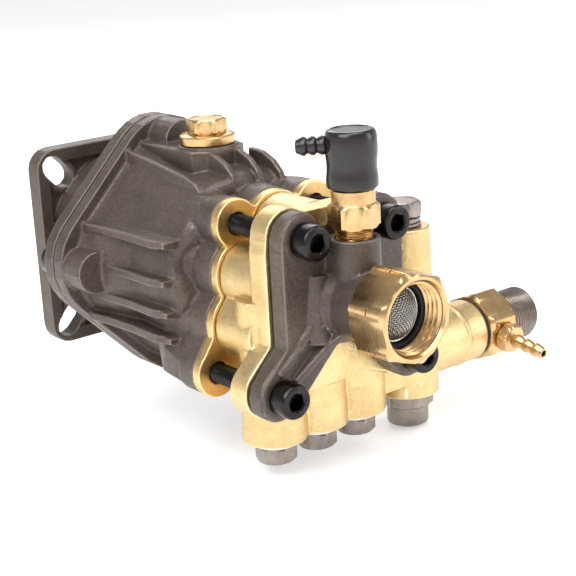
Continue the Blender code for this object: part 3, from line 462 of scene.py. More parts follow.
def block(low, high):
    """A box between two corners."""
    shape = bmesh.new()
    bmesh.ops.create_cube(shape, size=1)
    size = [b - a for a, b in zip(low, high)]
    centre = [(a + b) / 2 for a, b in zip(low, high)]
    bmesh.ops.scale(shape, vec=size, verts=shape.verts)
    bmesh.ops.translate(shape, vec=centre, verts=shape.verts)
    return mesh_object("block", shape)


# Stations and places, from the frame
CASE_LOW, CASE_HIGH = box("crankcase")
CASE_FLANGE = 5.7
FLANGE_FRONT = CASE_HIGH.y - CASE_FLANGE
CASE_FRONT = CASE_LOW.y
OIL_PLUG = middle("oil_filler_plug")
COVER_LOW, COVER_HIGH = box("inlet_cover")
COVER_PLATE = 7.0
COVER_FACE = COVER_HIGH.y - COVER_PLATE
HEAD_LOW, HEAD_HIGH = box("pump_head")
HEAD_FLANGE = 9.3
INLET = middle("hose_nut")
RELIEF = middle("relief_valve_body")
COLUMNS = [middle(f"valve_plug_{i}") for i in (1, 2, 3)]
UNLOADER = middle("unloader_cap")
UNLOADER_TOP = box("unloader_cap")[0].z + 5.0
OUTLET = middle("outlet_thread")
OUTLET_END = box("outlet_seal_ring")[0].x - 0.3
SCREWS = [middle(f"cover_screw_{i}") for i in (1, 2, 3, 4)]
SCREW_PLACES = [(spot.x, spot.z) for spot in SCREWS]

# Outlines
LOBE_APEX, LOBE_SIDE = 54.0, 45.3
FLANGE_HALF = 28.7
PAD_RADIUS = 9.5


# An outline seen from the shaft axis: the farthest of several edges in each direction.

def disc_edge(x, z, radius):
    def edge(angle):
        along = x * math.cos(angle) + z * math.sin(angle)
        inside = along * along - (x * x + z * z - radius * radius)
        return along + math.sqrt(inside) if inside >= 0 else 0.0

    return edge


def box_edge(half, low, high):
    def edge(angle):
        c, s = math.cos(angle), math.sin(angle)
        side = half / max(abs(c), 1e-9)
        return min(side, (high if s > 0 else -low) / max(abs(s), 1e-9))

    return edge


def leg_edge(x, z, radius):
    reach, heading, tip = math.hypot(x, z), math.atan2(z, x), disc_edge(x, z, radius)

    def edge(angle):
        along = math.cos(angle - heading)
        side = radius / max(abs(math.sin(angle - heading)), 1e-9)
        return max(tip(angle), side if along > 0 and side * along <= reach else 0.0)

    return edge


def farthest(edges):
    return lambda angle: max(edge(angle) for edge in edges)


def diamond(apex, side):
    """A square on its corner, with flats at side and corners rounded off at apex."""
    rounding = (side * math.sqrt(2) - apex) / (math.sqrt(2) - 1)
    centre = (side - rounding) * math.sqrt(2)
    tangent = math.atan2(rounding, centre * math.sqrt(2) + rounding)

    def edge(angle):
        off = abs((angle + math.pi / 4) % (math.pi / 2) - math.pi / 4)
        if off < tangent:
            return centre * math.cos(off) + math.sqrt(rounding**2 - (centre * math.sin(off)) ** 2)
        return side / math.cos(math.pi / 4 - off)

    return edge


def scallops(grow):
    """The outline round the three cylinders and four screws."""
    made = [disc_edge(0, 19.4, 12.6 + grow), disc_edge(0, -8, 22 + grow)]
    for side in (-1, 1):
        made += [disc_edge(side * 17, 5, 12 + grow), disc_edge(side * 20, -14, 12.6 + grow)]
    return made


def screw_pads(radius):
    upper, lower = SCREW_PLACES[:2], SCREW_PLACES[2:]
    return [disc_edge(x, z, radius) for x, z in upper] + [leg_edge(x, z, radius) for x, z in lower]


def plate_edges(grow, top):
    """The outline of the manifold's front flange and of the cover."""
    bottom = -17
    right, level = SCREW_PLACES[1]
    return [
        box_edge(FLANGE_HALF + grow, bottom, min(top, level)),
        box_edge(right, bottom, top),
        *screw_pads(PAD_RADIUS + grow),
    ]


def shell(sections, wall, count=360):
    """A hollow loft round the shaft axis.

    Each section is (station, edge), and either may be a number or a function of the angle.
    """
    shape = bmesh.new()
    rings = []
    for station, edge in sections:
        outer, inner = [], []
        for i in range(count):
            angle = 2 * math.pi * i / count
            height = station(angle) if callable(station) else station
            reach = edge(angle) if callable(edge) else edge
            for ring, radius in ((outer, reach), (inner, reach - wall)):
                spot = radius * math.cos(angle), height, radius * math.sin(angle)
                ring.append(shape.verts.new(spot))
        rings.append((outer, inner))
    for near, far in zip(rings, rings[1:]):
        for side in (0, 1):
            for i in range(count):
                j = (i + 1) % count
                shape.faces.new((near[side][i], near[side][j], far[side][j], far[side][i]))
    for outer, inner in (rings[0], rings[-1]):
        for i in range(count):
            j = (i + 1) % count
            shape.faces.new((outer[i], outer[j], inner[j], inner[i]))
    return mesh_object("shell", shape)


def barrel():
    """The crankcase's round body, which steps down to its collar along a wavy front edge."""

    depth, waves, phase = 2.6, 8, math.radians(142)

    def wave(back):
        middle_line = CASE_FRONT + 12.0 + back
        return lambda angle: middle_line - depth * math.cos(waves * (angle - phase))

    body = [
        (FLANGE_FRONT + 1, diamond(48.0, 41.6)),
        (FLANGE_FRONT - 3, diamond(46.2, 40.6)),
        (-52, diamond(44.2, 39.9)),
        (-60, diamond(41.5, 39.4)),
        (-68, 39.2),
        (-82, 38.7),
        (wave(3.5), 37.9),
        (wave(1.2), 36.6),
        (wave(0.0), 34.6),
        (wave(-0.6), 31.0),
    ]
    collar = [
        (CASE_FRONT + 9, farthest([*scallops(2.4), *screw_pads(9.3)])),
        (CASE_FRONT + 3.5, farthest([*scallops(1.8), *screw_pads(9.4)])),
        (CASE_FRONT, farthest([*scallops(1.25), *screw_pads(9.4)])),
    ]
    lobes = diamond(LOBE_APEX, LOBE_SIDE)
    flange = [(FLANGE_FRONT, lobes), (CASE_HIGH.y, lobes)]
    return [shell(body, wall=4.8), shell(collar, wall=3.8), shell(flange, wall=4)]


DECK_DROP, DECK_THICKNESS = 8.8, 10
FIN_PLACE = 18.3
# Each gusset's x, and how far its top lies below the deck
GUSSETS = (-7.0, 0.0), (5.0, 0.0), (16.0, -2.2)
RIB_LEVELS = 16.3, 1.8, -10.5, -21.0
# Just outside the bores, so that no rib fills them
RIB_ROOT = 34.3


def crankcase_ribs():
    """The raised parts of the crankcase: deck under the oil plug, side fins, gussets and ribs."""
    made = barrel()
    deck_top = CASE_HIGH.z - DECK_DROP
    reach = 12.8
    corner = 6.0
    front = OIL_PLUG.y - 12.4
    outline = [
        (-reach, FLANGE_FRONT + 2, deck_top),
        (reach, FLANGE_FRONT + 2, deck_top),
        (reach, front + corner, deck_top),
        (reach - corner, front, deck_top),
        (-reach + corner, front, deck_top),
        (-reach, front + corner, deck_top),
    ]
    mid = [(x, y, z - DECK_THICKNESS / 2) for x, y, z in outline]
    made.append(slab(mid, DECK_THICKNESS))
    for side in (-1, 1):
        x = side * FIN_PLACE
        made.append(slab([
            (x, FLANGE_FRONT + 2, 28),
            (x, FLANGE_FRONT + 2, 43.6),
            (x, -66, 39.6),
            (x, -80, 37.6),
            (x, -87, 35.4),
            (x, -91.5, 31.5),
            (x, -92, 28),
        ], thickness=2.6))
    for x, top in GUSSETS:
        made.append(slab([
            (x, front + 6, 31),
            (x, front + 6, deck_top + top - 0.3),
            (x, front - 2, deck_top + top - 0.9),
            (x, front - 8.5, deck_top + top - 3.6),
            (x, front - 13.0, deck_top + top - 7.6),
            (x, front - 15.3, deck_top + top - 12.5),
            (x, front - 15.3, 31),
        ], thickness=2.5))
    for z in RIB_LEVELS:
        edge = 43.6 - abs(z + 2) * 0.1
        for side in (-1, 1):
            root = math.sqrt(RIB_ROOT**2 - z * z)
            made.append(slab([
                (side * root, FLANGE_FRONT + 2, z),
                (side * (edge + 1.5), FLANGE_FRONT + 2, z),
                (side * edge, -52, z),
                (side * (edge - 0.5), -70, z),
                (side * edge, -86, z),
                (side * (edge - 0.8), -89.5, z),
                (side * (edge - 3.6), -92.5, z),
                (side * root, -93.0, z),
            ], thickness=3.3))
    return made


def cover_ribs():
    """The raised parts of the inlet cover: lobes beside its hub, rims, and ribs down its legs."""
    made = []
    hub = INLET.z
    behind = COVER_FACE + 2
    sunk = COVER_FACE + 1
    for side in (-1, 1):
        foot, top = (side * 14, behind, hub - 13), (side * 12.5, behind, hub + 12)
        made.append(pipe(foot, top, radius=6.3, hole=0, end_radius=4.6))
        made.append(slab([
            (side * 8, sunk, hub - 9),
            (side * 8, COVER_FACE - 9, hub - 9),
            (side * 13, COVER_FACE - 4.6, hub - 14),
            (side * 26.5, COVER_FACE - 2.0, hub - 24.5),
            (side * 26.5, sunk, hub - 24.5),
        ], thickness=2.6))
        made.append(slab([
            (side * 12, sunk, hub - 1),
            (side * 12, COVER_FACE - 2.4, hub - 1),
            (side * 21, COVER_FACE - 1.9, hub - 11),
            (side * 33, COVER_FACE - 1.1, hub - 20.5),
            (side * 33, sunk, hub - 20.5),
        ], thickness=2.4))
        first = 0 if side < 0 else 1
        for x, z in (SCREW_PLACES[first], SCREW_PLACES[first + 2]):
            seat = (x, behind, z), (x, COVER_FACE - 0.25, z)
            made.append(pipe(*seat, radius=8.6, hole=4.3, end_radius=7.9))
    made.append(block((-9.3, COVER_FACE - 5.8, 9.5), (9.3, sunk, 18)))
    root, neck = (0, COVER_FACE, hub), (0, COVER_FACE - 6.5, hub)
    hub_front = (0, COVER_LOW.y, hub)
    hole = 10.7
    made.append(pipe(root, neck, radius=16.4, hole=hole, end_radius=13.5))
    made.append(pipe(hub_front, root, radius=13.55, hole=hole))
    made.append(pipe((0, RELIEF.y, 8), (0, RELIEF.y, 22.7), radius=9.25, hole=7.2))
    plate = farthest(plate_edges(0.15, 21.5))
    inset = farthest(plate_edges(-1.3, 20.2))
    sections = [(COVER_HIGH.y, plate), (COVER_FACE + 1.4, plate), (COVER_FACE, inset)]
    made.append(shell(sections, wall=4))
    return made


COLUMN_SHOULDERS = -47.5, -45.0, -43.0
COLUMN_TOP = -22
COLUMN_HOLE = 8


def head_ribs():
    """The manifold's smooth outlines, thicker feet on its columns and a bead round its outlet."""
    made = []
    back, front, foot = HEAD_HIGH.y, HEAD_LOW.y, HEAD_LOW.z
    step = front + HEAD_FLANGE
    lobes = farthest(scallops(0.2))
    made.append(shell([(back, lobes), (step - 1, lobes)], wall=3.5))
    flange = farthest([*plate_edges(0.75, 31.6), box_edge(30.1, -36, 20)])
    made.append(shell([(step, flange), (front, flange)], wall=4))
    for spot, shoulder in zip(COLUMNS, COLUMN_SHOULDERS):
        at = spot.x, spot.y
        made.append(pipe((*at, foot), (*at, shoulder), 12.4, COLUMN_HOLE, end_radius=12.2))
        made.append(pipe((*at, foot), (*at, COLUMN_TOP), 12.05, COLUMN_HOLE))
    at = (UNLOADER.x, UNLOADER.y)
    made.append(pipe((*at, foot), (*at, -34.0), 12.9, COLUMN_HOLE, end_radius=12.7))
    made.append(pipe((*at, foot), (*at, UNLOADER_TOP), 12.4, COLUMN_HOLE, end_radius=10.8))
    bead = OUTLET.x - 34.5
    for start, end, radius in ((UNLOADER.x, OUTLET_END, 12.65), (bead, bead + 1.2, 13.0)):
        made.append(pipe((start, OUTLET.y, OUTLET.z), (end, OUTLET.y, OUTLET.z), radius, hole=7))
    return made


def adapter_ribs():
    """The adapter's smooth drum and flange."""
    low, high = box("mounting_adapter")
    lobes = diamond(LOBE_APEX, LOBE_SIDE)
    drum = 36.7
    stations = (low.y + 1, low.y + 7.5, high.y - 4)
    return [
        shell([(low.y, lobes), (low.y + 6.1, lobes)], wall=4),
        shell([(station, drum) for station in stations], wall=4),
    ]


def retainer_edge():
    """The brass layer's scalloped rim."""
    low, high = box("seal_retainer")
    edge = farthest([*scallops(1.3), *screw_pads(PAD_RADIUS)])
    return [shell([(low.y, edge), (high.y, edge)], wall=3.5)]


def make_castings():
    """Name, CAD node, material, slot, voxel size, rounds of smoothing and added features."""
    ribs = adapter_ribs(), crankcase_ribs(), cover_ribs(), head_ribs(), retainer_edge()
    jobs = (
        ("adapter_casting", "mounting_adapter", "casting", "cast_adapter", 0.5, 5),
        ("crankcase_casting", "crankcase", "casting", "cast_crankcase", 0.5, 5),
        ("cover_casting", "inlet_cover", "casting", "cast_cover", 0.4, 5),
        ("head_casting", "pump_head", "cast_brass", "cast_brass", 0.45, 4),
        ("retainer_plate", "seal_retainer", "plate_brass", "retainer_brass", 0.4, 2),
    )
    for job, extras in zip(jobs, ribs):
        casting(*job, extras)


# ---------------------------------------------------------------- turned and milled pieces

# The turn of every screw's socket and of the injector barb's hexagon, in radians
SOCKET_TURN = 0.3
SOCKET_CORNER = 3.5
SCREW_HEAD = 8.0
SHANK = 3.85


def socket_screw(node):
    """A socket-head screw along Y, with a deep socket, a soft head edge and a threaded shank."""
    low, high = box(node)
    spot = middle(node)
    outward = -1 if node.startswith("cover") else 1
    top = low.y if outward < 0 else high.y
    tip = high.y if outward < 0 else low.y
    seat = top - outward * SCREW_HEAD
    socket = hexagon(SOCKET_CORNER, SOCKET_TURN)
    start, end = sorted((seat - outward * 1.5, tip))
    grooves = thread(radius=3.95, pitch=1.25, depth=0.75, start=start, end=end)
    profile = [
        (0, top - outward * 4.2),
        (SOCKET_CORNER, top - outward * 4.0, socket),
        (SOCKET_CORNER, top - outward * 0.5, socket),
        (3.75, top),
        (5.3, top),
        (6.0, top - outward * 0.25),
        (6.4, top - outward * 0.9),
        (6.5, top - outward * 1.6),
        (6.5, seat + outward * 0.3),
        (6.2, seat),
        (SHANK, seat),
    ]
    step = 0.16
    count = round(abs(seat - tip) / step)
    shank = (SHANK, seat, grooves), (SHANK, tip + outward * 0.8, grooves)
    profile += steps_between(*shank, count)
    profile += [(3.0, tip), (0, tip)]
    piece = lathe(f"{node}_steel", profile, "Y", (spot.x, 0, spot.z), segments=60)
    show(piece, "oxide_Y", (node,))


def hex_head(corner, low, high, turn, chamfer=0.9):
    """Profile points of a hexagon with chamfered ends, from low to high."""
    flats = hexagon(corner, turn, rounding=0.15)
    across = corner * math.cos(math.pi / 6)
    face, shoulder, break_edge = across * 0.96, across + 0.1, 0.35
    return [
        (face, low),
        (shoulder, low + break_edge, flats),
        (corner, low + chamfer, flats),
        (corner, high - chamfer, flats),
        (shoulder, high - break_edge, flats),
        (face, high),
    ]


def make_screws():
    for i in (1, 2, 3, 4):
        socket_screw(f"case_screw_{i}")
        socket_screw(f"cover_screw_{i}")


def make_oil_plug():
    """The brass filler plug with its flange, and the ring that it squeezes."""
    low, high = box("oil_filler_plug")
    place = (OIL_PLUG.x, OIL_PLUG.y, 0)
    turn = 0.35
    seat = high.z - 8.4
    profile = [(0, low.z), (6.0, low.z), (6.5, low.z + 0.6), (6.5, seat)]
    profile += [(10.4, seat), (10.5, seat - 1.2), (10.9, seat - 1.2), (11.0, seat - 0.9)]
    profile += [(11.0, seat + 1.7), (10.4, seat + 2.2), (8.4, seat + 2.5)]
    profile += hex_head(corner=8.2, low=seat + 2.4, high=high.z, turn=turn)[1:]
    profile += [(6.2, high.z), (6.0, high.z - 0.25), (0, high.z - 0.25)]
    piece = lathe("oil_plug_brass", profile, "Z", place, segments=96, shift=turn)
    show(piece, "brass_Z", ("oil_filler_plug",))

    low, high = box("oil_plug_seal")
    level = (low.z + high.z) / 2
    wide, thick, sides = 1.2, 0.5, 8
    turns = [i * 2 * math.pi / sides for i in range(sides)]
    ring = [(8.4 + wide * math.cos(a), level + thick * math.sin(a)) for a in turns]
    piece = lathe("oil_plug_ring", ring, "Z", place, segments=60)
    show(piece, "rubber", ("oil_plug_seal",))


def make_valve_plugs():
    """The three hexagon plugs under the columns."""
    turn, thread_radius = 0.2, 6.2
    for i, spot in enumerate(COLUMNS, 1):
        low, high = box(f"valve_plug_{i}")
        collar = low.z + 6.7
        profile = [(0, low.z + 0.3), (5.0, low.z + 0.3), (5.4, low.z)]
        profile += hex_head(corner=8.1, low=low.z, high=collar, turn=turn)
        profile += [(7.3, collar), (7.3, collar + 0.9), (thread_radius, collar + 0.9)]
        profile += [(thread_radius, high.z), (0, high.z)]
        name = f"valve_plug_steel_{i}"
        piece = lathe(name, profile, "Z", (spot.x, spot.y, 0), segments=72, shift=turn)
        show(piece, "steel_Z", (f"valve_plug_{i}",))


def make_thermal_valve():
    """The round valve with its hexagon, under the unloader column."""
    low, high = box("thermal_valve")
    spot = middle("thermal_valve")
    turn, thread_radius = 0.15, 6.2
    hex_low = high.z - 15.7
    hex_high = hex_low + 5.7
    profile = [(0, low.z + 3.0), (4.4, low.z + 3.0), (4.6, low.z + 0.4), (5.0, low.z)]
    profile += [(7.3, low.z), (8.1, low.z + 0.5), (8.4, low.z + 1.3), (8.4, hex_low - 0.1)]
    profile += hex_head(corner=10.7, low=hex_low, high=hex_high, turn=turn)
    profile += [(thread_radius, hex_high), (thread_radius, high.z), (0, high.z)]
    place = (spot.x, spot.y, 0)
    piece = lathe("thermal_valve_steel", profile, "Z", place, segments=96, shift=turn)
    show(piece, "steel_Z", ("thermal_valve",))


def make_unloader_cap():
    """The hexagon cap on the unloader column, with a waist under its head."""
    low, high = box("unloader_cap")
    turn, thread_radius = 0.3, 6.2
    seat = low.z + 5.0
    profile = [(0, low.z), (thread_radius, low.z), (thread_radius, seat + 0.3)]
    profile += [(7.1, seat + 0.3), (7.4, seat + 0.6), (7.4, seat + 1.5), (6.6, seat + 1.9)]
    profile += [(6.6, seat + 2.5), (7.4, seat + 2.8), (7.4, seat + 3.5)]
    profile += hex_head(corner=7.9, low=seat + 3.6, high=high.z, turn=turn, chamfer=1.1)
    profile += [(5.6, high.z), (5.4, high.z - 0.2), (0, high.z - 0.2)]
    place = (UNLOADER.x, UNLOADER.y, 0)
    piece = lathe("unloader_cap_steel", profile, "Z", place, segments=84, shift=turn)
    show(piece, "steel_Z", ("unloader_cap",))


# The relief cap's outline: radius, and height over its lower edge
CAP_OUTLINE = [
    (9.3, 3.0), (9.15, 4.6), (8.98, 6.2), (8.93, 8.0), (9.02, 9.6), (9.2, 11.0), (9.32, 12.6),
    (9.34, 15.0), (9.3, 17.0), (9.15, 18.6), (8.85, 19.6), (8.4, 20.3), (7.7, 20.66),
]


def make_relief_valve():
    """The brass body: a threaded stem, a hexagon and a plain neck for the cap."""
    low, high = box("relief_valve_body")
    turn = math.radians(20)
    bore, neck = 2.5, 7.9
    hex_low = low.z + 11.7
    hex_high = hex_low + 9.2
    cap_low, _ = box("relief_hose_elbow")
    grooves = thread(6.8, pitch=1.05, depth=0.7, start=low.z, end=hex_low + 0.5, run_out=0.3)
    profile = [(bore, low.z), (6.2, low.z)]
    stem = (6.8, low.z + 0.3, grooves), (6.8, hex_low - 0.4, grooves)
    profile += steps_between(*stem, count=90)
    profile += [(6.3, hex_low - 0.3), (6.3, hex_low)]
    profile += hex_head(corner=9.6, low=hex_low, high=hex_high, turn=turn, chamfer=1.1)
    profile += [(neck, hex_high + 0.1), (neck, cap_low.z - 0.7), (7.6, cap_low.z - 0.3)]
    profile += [(5.6, cap_low.z - 0.3), (5.6, high.z), (bore, high.z)]
    place = (RELIEF.x, RELIEF.y, 0)
    piece = lathe("relief_valve_brass", profile, "Z", place, segments=96, shift=turn)
    show(piece, "brass_Z", ("relief_valve_body",))


def make_relief_elbow():
    """The black cap with a soft waist, and the barb on its side."""
    low, high = box("relief_hose_elbow")
    bottom, top = low.z, high.z
    hole, hole_top = 5.9, bottom + 16.0
    profile = [(0, hole_top), (hole, hole_top), (hole, bottom + 0.2)]
    profile += [(8.7, bottom), (9.2, bottom + 0.35), (9.33, bottom + 1.0)]
    profile += [(radius, bottom + rise) for radius, rise in CAP_OUTLINE]
    profile += [(6.9, top - 0.02), (6.6, top - 0.28), (0, top - 0.3)]
    piece = lathe("relief_cap", profile, "Z", (RELIEF.x, RELIEF.y, 0), segments=96)
    show(piece, "plastic", ("relief_hose_elbow",), "relief_elbow")

    aim = Vector((-0.8, 0.6, 0)).to_track_quat("Z", "Y").to_matrix().to_4x4()
    profile = [(0, 6.0), (3.0, 6.0)]
    for i in range(3):
        start = 9.2 + 3.3 * i
        profile += [(2.7, start - 0.5), (3.1, start), (3.45, start + 0.4), (3.45, start + 1.1)]
        profile += [(3.0, start + 2.1), (2.7, start + 2.6)]
    profile += [(2.6, 18.7), (2.3, 19.3), (1.5, 19.5), (1.35, 19.3), (1.3, 14.0), (0, 14.0)]
    place = (RELIEF.x, RELIEF.y, bottom + 15.4)
    piece = lathe("relief_barb", profile, aim, place, segments=48)
    show(piece, "plastic", (), "relief_elbow")


def make_hose_nut():
    """The swivelling nut: hexagon, inside thread and the lip that holds it on the tailpiece."""
    low, high = box("hose_nut")
    turn = -math.radians(43)
    corner, bore, lip_bore = 17.9, 13.3, 10.3
    lip = high.y - 4.3
    flats = hexagon(corner, turn, rounding=0.35)
    across = corner * math.cos(math.pi / 6)
    score = low.y + 0.42 * (high.y - low.y)
    score_width, score_depth, score_from = 0.6, 0.55, math.radians(25.5)

    def scored(angle, height):
        """The flats, with a short cut across each corner half-way along."""
        along = abs((angle - turn) % (math.pi / 3) - math.pi / 6)
        cut = along > score_from and score < height < score + score_width
        return flats(angle, height) - (score_depth if cut else 0.0)

    grooves = thread(bore, pitch=2.2, depth=1.15, start=low.y + 1.2, end=lip - 1.0, run_out=0.35)
    profile = [(across * 0.97, high.y - 0.05), (across + 0.15, high.y - 0.35, flats)]
    profile += [(corner, high.y - 1.5, flats)]
    profile += [(corner, score + rise, scored) for rise in (0.62, 0.55, 0.05, -0.02)]
    profile += [(corner, low.y + 1.7, flats), (across + 0.4, low.y + 0.5, flats)]
    profile += [(across * 0.975, low.y), (bore + 0.75, low.y), (bore + 0.15, low.y + 0.9)]
    beyond = 99
    inside = (beyond, low.y + 1.0, grooves), (beyond, lip, grooves)
    profile += steps_between(*inside, count=70)
    profile += [(lip_bore, lip), (lip_bore, high.y - 0.3), (lip_bore + 0.4, high.y - 0.05)]
    place = (INLET.x, 0, INLET.z)
    piece = lathe("hose_nut_brass", profile, "Y", place, segments=144, shift=turn)
    show(piece, "brass_Y", ("hose_nut",), "hose_nut")


def woven_dome(name, centre, radius, rise, pitch, wire):
    """Two sets of crossing wires, bowed to a dome that bulges towards -Y."""
    shape = bmesh.new()
    sides = 5
    margin = 0.2
    weave = 0.9 * wire
    rows = int(radius / pitch)

    def height(u, v):
        return rise * (1 - (u * u + v * v) / (radius * radius))

    for family in (0, 1):
        for row in range(-rows, rows + 1):
            across = (row + 0.5 * family) * pitch
            if abs(across) >= radius - margin:
                continue
            span = math.sqrt(radius * radius - across * across)
            count = max(4, int(4 * span / pitch))
            rings = []
            for k in range(count + 1):
                along = -span + 2 * span * k / count
                phase = math.pi * (along / pitch + row + family)
                out = height(across, along) + weave * math.cos(phase)
                ring = []
                for side in range(sides):
                    a = 2 * math.pi * side / sides
                    u = across + wire * math.cos(a)
                    depth = out + wire * math.sin(a)
                    x, z = (along, u) if family else (u, along)
                    point = centre[0] + x, centre[1] - depth, centre[2] + z
                    ring.append(shape.verts.new(point))
                rings.append(ring)
            for near, far in zip(rings, rings[1:]):
                for i in range(sides):
                    j = (i + 1) % sides
                    shape.faces.new((near[i], near[j], far[j], far[i]))
            shape.faces.new(rings[0])
            shape.faces.new(rings[-1])
    return mesh_object(name, shape)


def make_inlet():
    """The woven screen with its rim, and the hose washer round it."""
    low, high = box("inlet_screen")
    spot = middle("inlet_screen")
    centre = (spot.x, high.y - 0.6, spot.z)
    rise = high.y - low.y - 1.2
    dome = woven_dome("inlet_screen_mesh", centre, radius=9.9, rise=rise, pitch=0.78, wire=0.17)
    show(dome, "wire", ("inlet_screen",))
    rim = [(9.5, high.y - 0.05), (10.25, high.y - 0.15), (10.28, high.y - 0.6)]
    rim += [(9.9, high.y - 1.1), (9.4, high.y - 0.9)]
    piece = lathe("inlet_screen_rim", rim, "Y", (spot.x, 0, spot.z), segments=72)
    show(piece, "wire")

    low, high = box("hose_washer")
    washer = [(10.7, high.y - 0.2), (10.9, high.y), (12.8, high.y), (13.0, high.y - 0.3)]
    washer += [(13.0, low.y + 0.5), (12.6, low.y), (11.1, low.y), (10.7, low.y + 0.4)]
    piece = lathe("hose_washer_rubber", washer, "Y", (spot.x, 0, spot.z), segments=96)
    show(piece, "rubber", ("hose_washer",))


INJECTOR_CORNER = 15.2
# The injector's turn about the outlet, so that its barb droops
INJECTOR_TURN = math.radians(8.5)


def make_outlet_thread():
    """The steel M22 nipple at the outlet's end."""
    low, high = box("outlet_thread")
    bore = 5.0
    start = low.x + 2.7
    grooves = thread(11.0, pitch=1.5, depth=0.95, start=start + 0.6, end=high.x - 0.2, run_out=0.4)
    profile = [(bore, low.x), (7.7, low.x), (7.7, start), (9.6, start)]
    nipple = (10.9, start + 0.2, grooves), (11.0, high.x - 1.1, grooves)
    profile += steps_between(*nipple, count=110)
    profile += [(10.0, high.x - 0.1), (9.7, high.x), (6.2, high.x), (5.6, high.x - 0.5)]
    profile += [(bore, high.x - 1.4)]
    place = (0, OUTLET.y, OUTLET.z)
    piece = lathe("outlet_thread_steel", profile, "X", place, segments=108)
    show(piece, "steel_X", ("outlet_thread",))


def make_injector():
    """The injector's brass hexagon, and the barb on one of its flats."""
    low, high = box("injector_body")
    hex_low, socket = low.x + 13.6, low.x + 26.0
    bore = 2.8
    profile = [(bore, low.x), (6.2, low.x), (6.2, hex_low)]
    profile += hex_head(INJECTOR_CORNER, hex_low, high.x, INJECTOR_TURN, chamfer=1.5)
    profile += [(8.0, high.x), (8.0, socket), (bore, socket)]
    place = (0, OUTLET.y, OUTLET.z)
    piece = lathe("injector_brass", profile, "X", place, segments=120, shift=INJECTOR_TURN)
    show(piece, "brass_X", ("injector_body",))

    x = middle("injector_barb").x
    down = Vector((0, -math.cos(INJECTOR_TURN), -math.sin(INJECTOR_TURN)))
    aim = down.to_track_quat("Z", "X").to_matrix().to_4x4()
    flat = INJECTOR_CORNER * math.cos(math.pi / 6)
    profile = [(1.3, flat + 1.2), (3.8, flat + 1.2), (3.8, flat + 0.3)]
    profile += hex_head(6.4, flat + 0.3, flat + 5.4, SOCKET_TURN, chamfer=0.7)
    profile += [(3.2, flat + 5.5), (2.3, flat + 6.1)]
    for i in range(3):
        tip = 24.0 + i * 5.0
        profile += [(2.05, tip - 4.6), (2.9, tip - 4.3), (2.95, tip - 3.7)]
        profile += [(2.5, tip - 1.4), (2.1, tip - 0.4)]
    profile += [(2.0, 34.3), (1.6, 34.5), (1.35, 34.2), (1.3, 28.0)]
    place = (x, OUTLET.y, OUTLET.z)
    piece = lathe("injector_barb_brass", profile, aim, place, segments=60, shift=SOCKET_TURN)
    show(piece, "brass_Y", ("injector_barb",))


# ---------------------------------------------------------------- CAD nodes that keep their shape

KEPT = {
    "case_gasket": "gasket",
    "inlet_gasket": "gasket",
    "outlet_seal_ring": "rubber",
    "shaft_seal": "rubber",
    "plunger_seal": "rubber",
    "inlet_tailpiece": "brass_Y",
    "injector_ball": "bright_Y",
    "valve_plug_washer": "washer",
    "unloader_piston": "brass_Z",
    "plunger": "bright_Y",
    "inlet_valve": "acetal",
    "discharge_valve": "acetal",
    "drive_shaft": "bright_Y",
    "bearing_cage": "brass_Y",
    "bearing_inner_race": "bright_Y",
    "bearing_outer_race": "bright_Y",
    "swash_bearing": "bright_Y",
    "swash_race": "bright_Y",
}


EDGE_BEVEL = 0.25


def finish_kept_nodes():
    """CAD nodes whose shape is right get a fine bevel and their own surface."""
    for name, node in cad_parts.items():
        stem = name.rstrip("_0123456789")
        if node.hide_render or stem not in KEPT:
            continue
        node.data.materials.clear()
        node.data.materials.append(MATERIALS[KEPT[stem]])
        edge = node.modifiers.new("edge", "BEVEL")
        edge.width = EDGE_BEVEL * MM
        edge.segments = 2
        edge.limit_method = "ANGLE"
        edge.angle_limit = math.radians(40)
        edge.harden_normals = False
        node.data.shade_smooth()
        node.data.set_sharp_from_angle(angle=math.radians(35))


LOW_END, HIGH_END = 0, 1
# Each spring, its joint, its axis, the end that stays put, and the joint's travel
SPRINGS = [(f"plunger_spring_{i}", f"plunger_{i}_stroke", "y", LOW_END, 8.5) for i in (1, 2, 3)]
SPRINGS.append(("unloader_spring", "unloader_lift", "z", HIGH_END, 3.0))


def make_springs():
    """Springs copied from their CAD coils, each with a mesh of its own; the length and the end
    that stays put are worked out but not used, so they do not shorten.
    """
    for node, joint, axis, fixed_end, travel in SPRINGS:
        ends = box(node)
        length = getattr(ends[1] - ends[0], axis)
        anchor = middle(node)
        setattr(anchor, axis, getattr(ends[fixed_end], axis))
        piece = mesh_object(node + "_coil", cad_mesh(node))
        show(piece, "wire", (node,))
        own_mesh(piece)


# ---------------------------------------------------------------- stage

FLOOR_RADIUS = 9
FLOOR_TONES = [(0.3, (0.87, 0.87, 0.87)), (0.7, (0.90, 0.90, 0.90))]
FLOOR_GLOW = 0.42
# The sky's colour by the height of the direction: white near the horizon, grey overhead
SKY_TONES = [
    (0.0, (1, 1, 1)), (0.12, (1, 1, 1)), (0.3, (0.50, 0.50, 0.51)), (1.0, (0.42, 0.42, 0.43)),
]
# Name, azimuth and elevation in degrees, distance and size in metres, and power in watts
SOFTBOXES = (
    ("key", -75, 48, 1.1, (0.7, 0.7), 9),
    ("top", 10, 80, 1.1, (0.9, 0.6), 7),
    ("fill", 45, 20, 1.3, (0.5, 0.9), 4),
    ("back", 150, 35, 1.3, (0.8, 0.6), 5),
)


def towards(azimuth, elevation):
    """The unit vector out of the pump in a direction given in degrees."""
    a, e = math.radians(azimuth), math.radians(elevation)
    return Vector((math.sin(a) * math.cos(e), -math.cos(a) * math.cos(e), math.sin(e)))


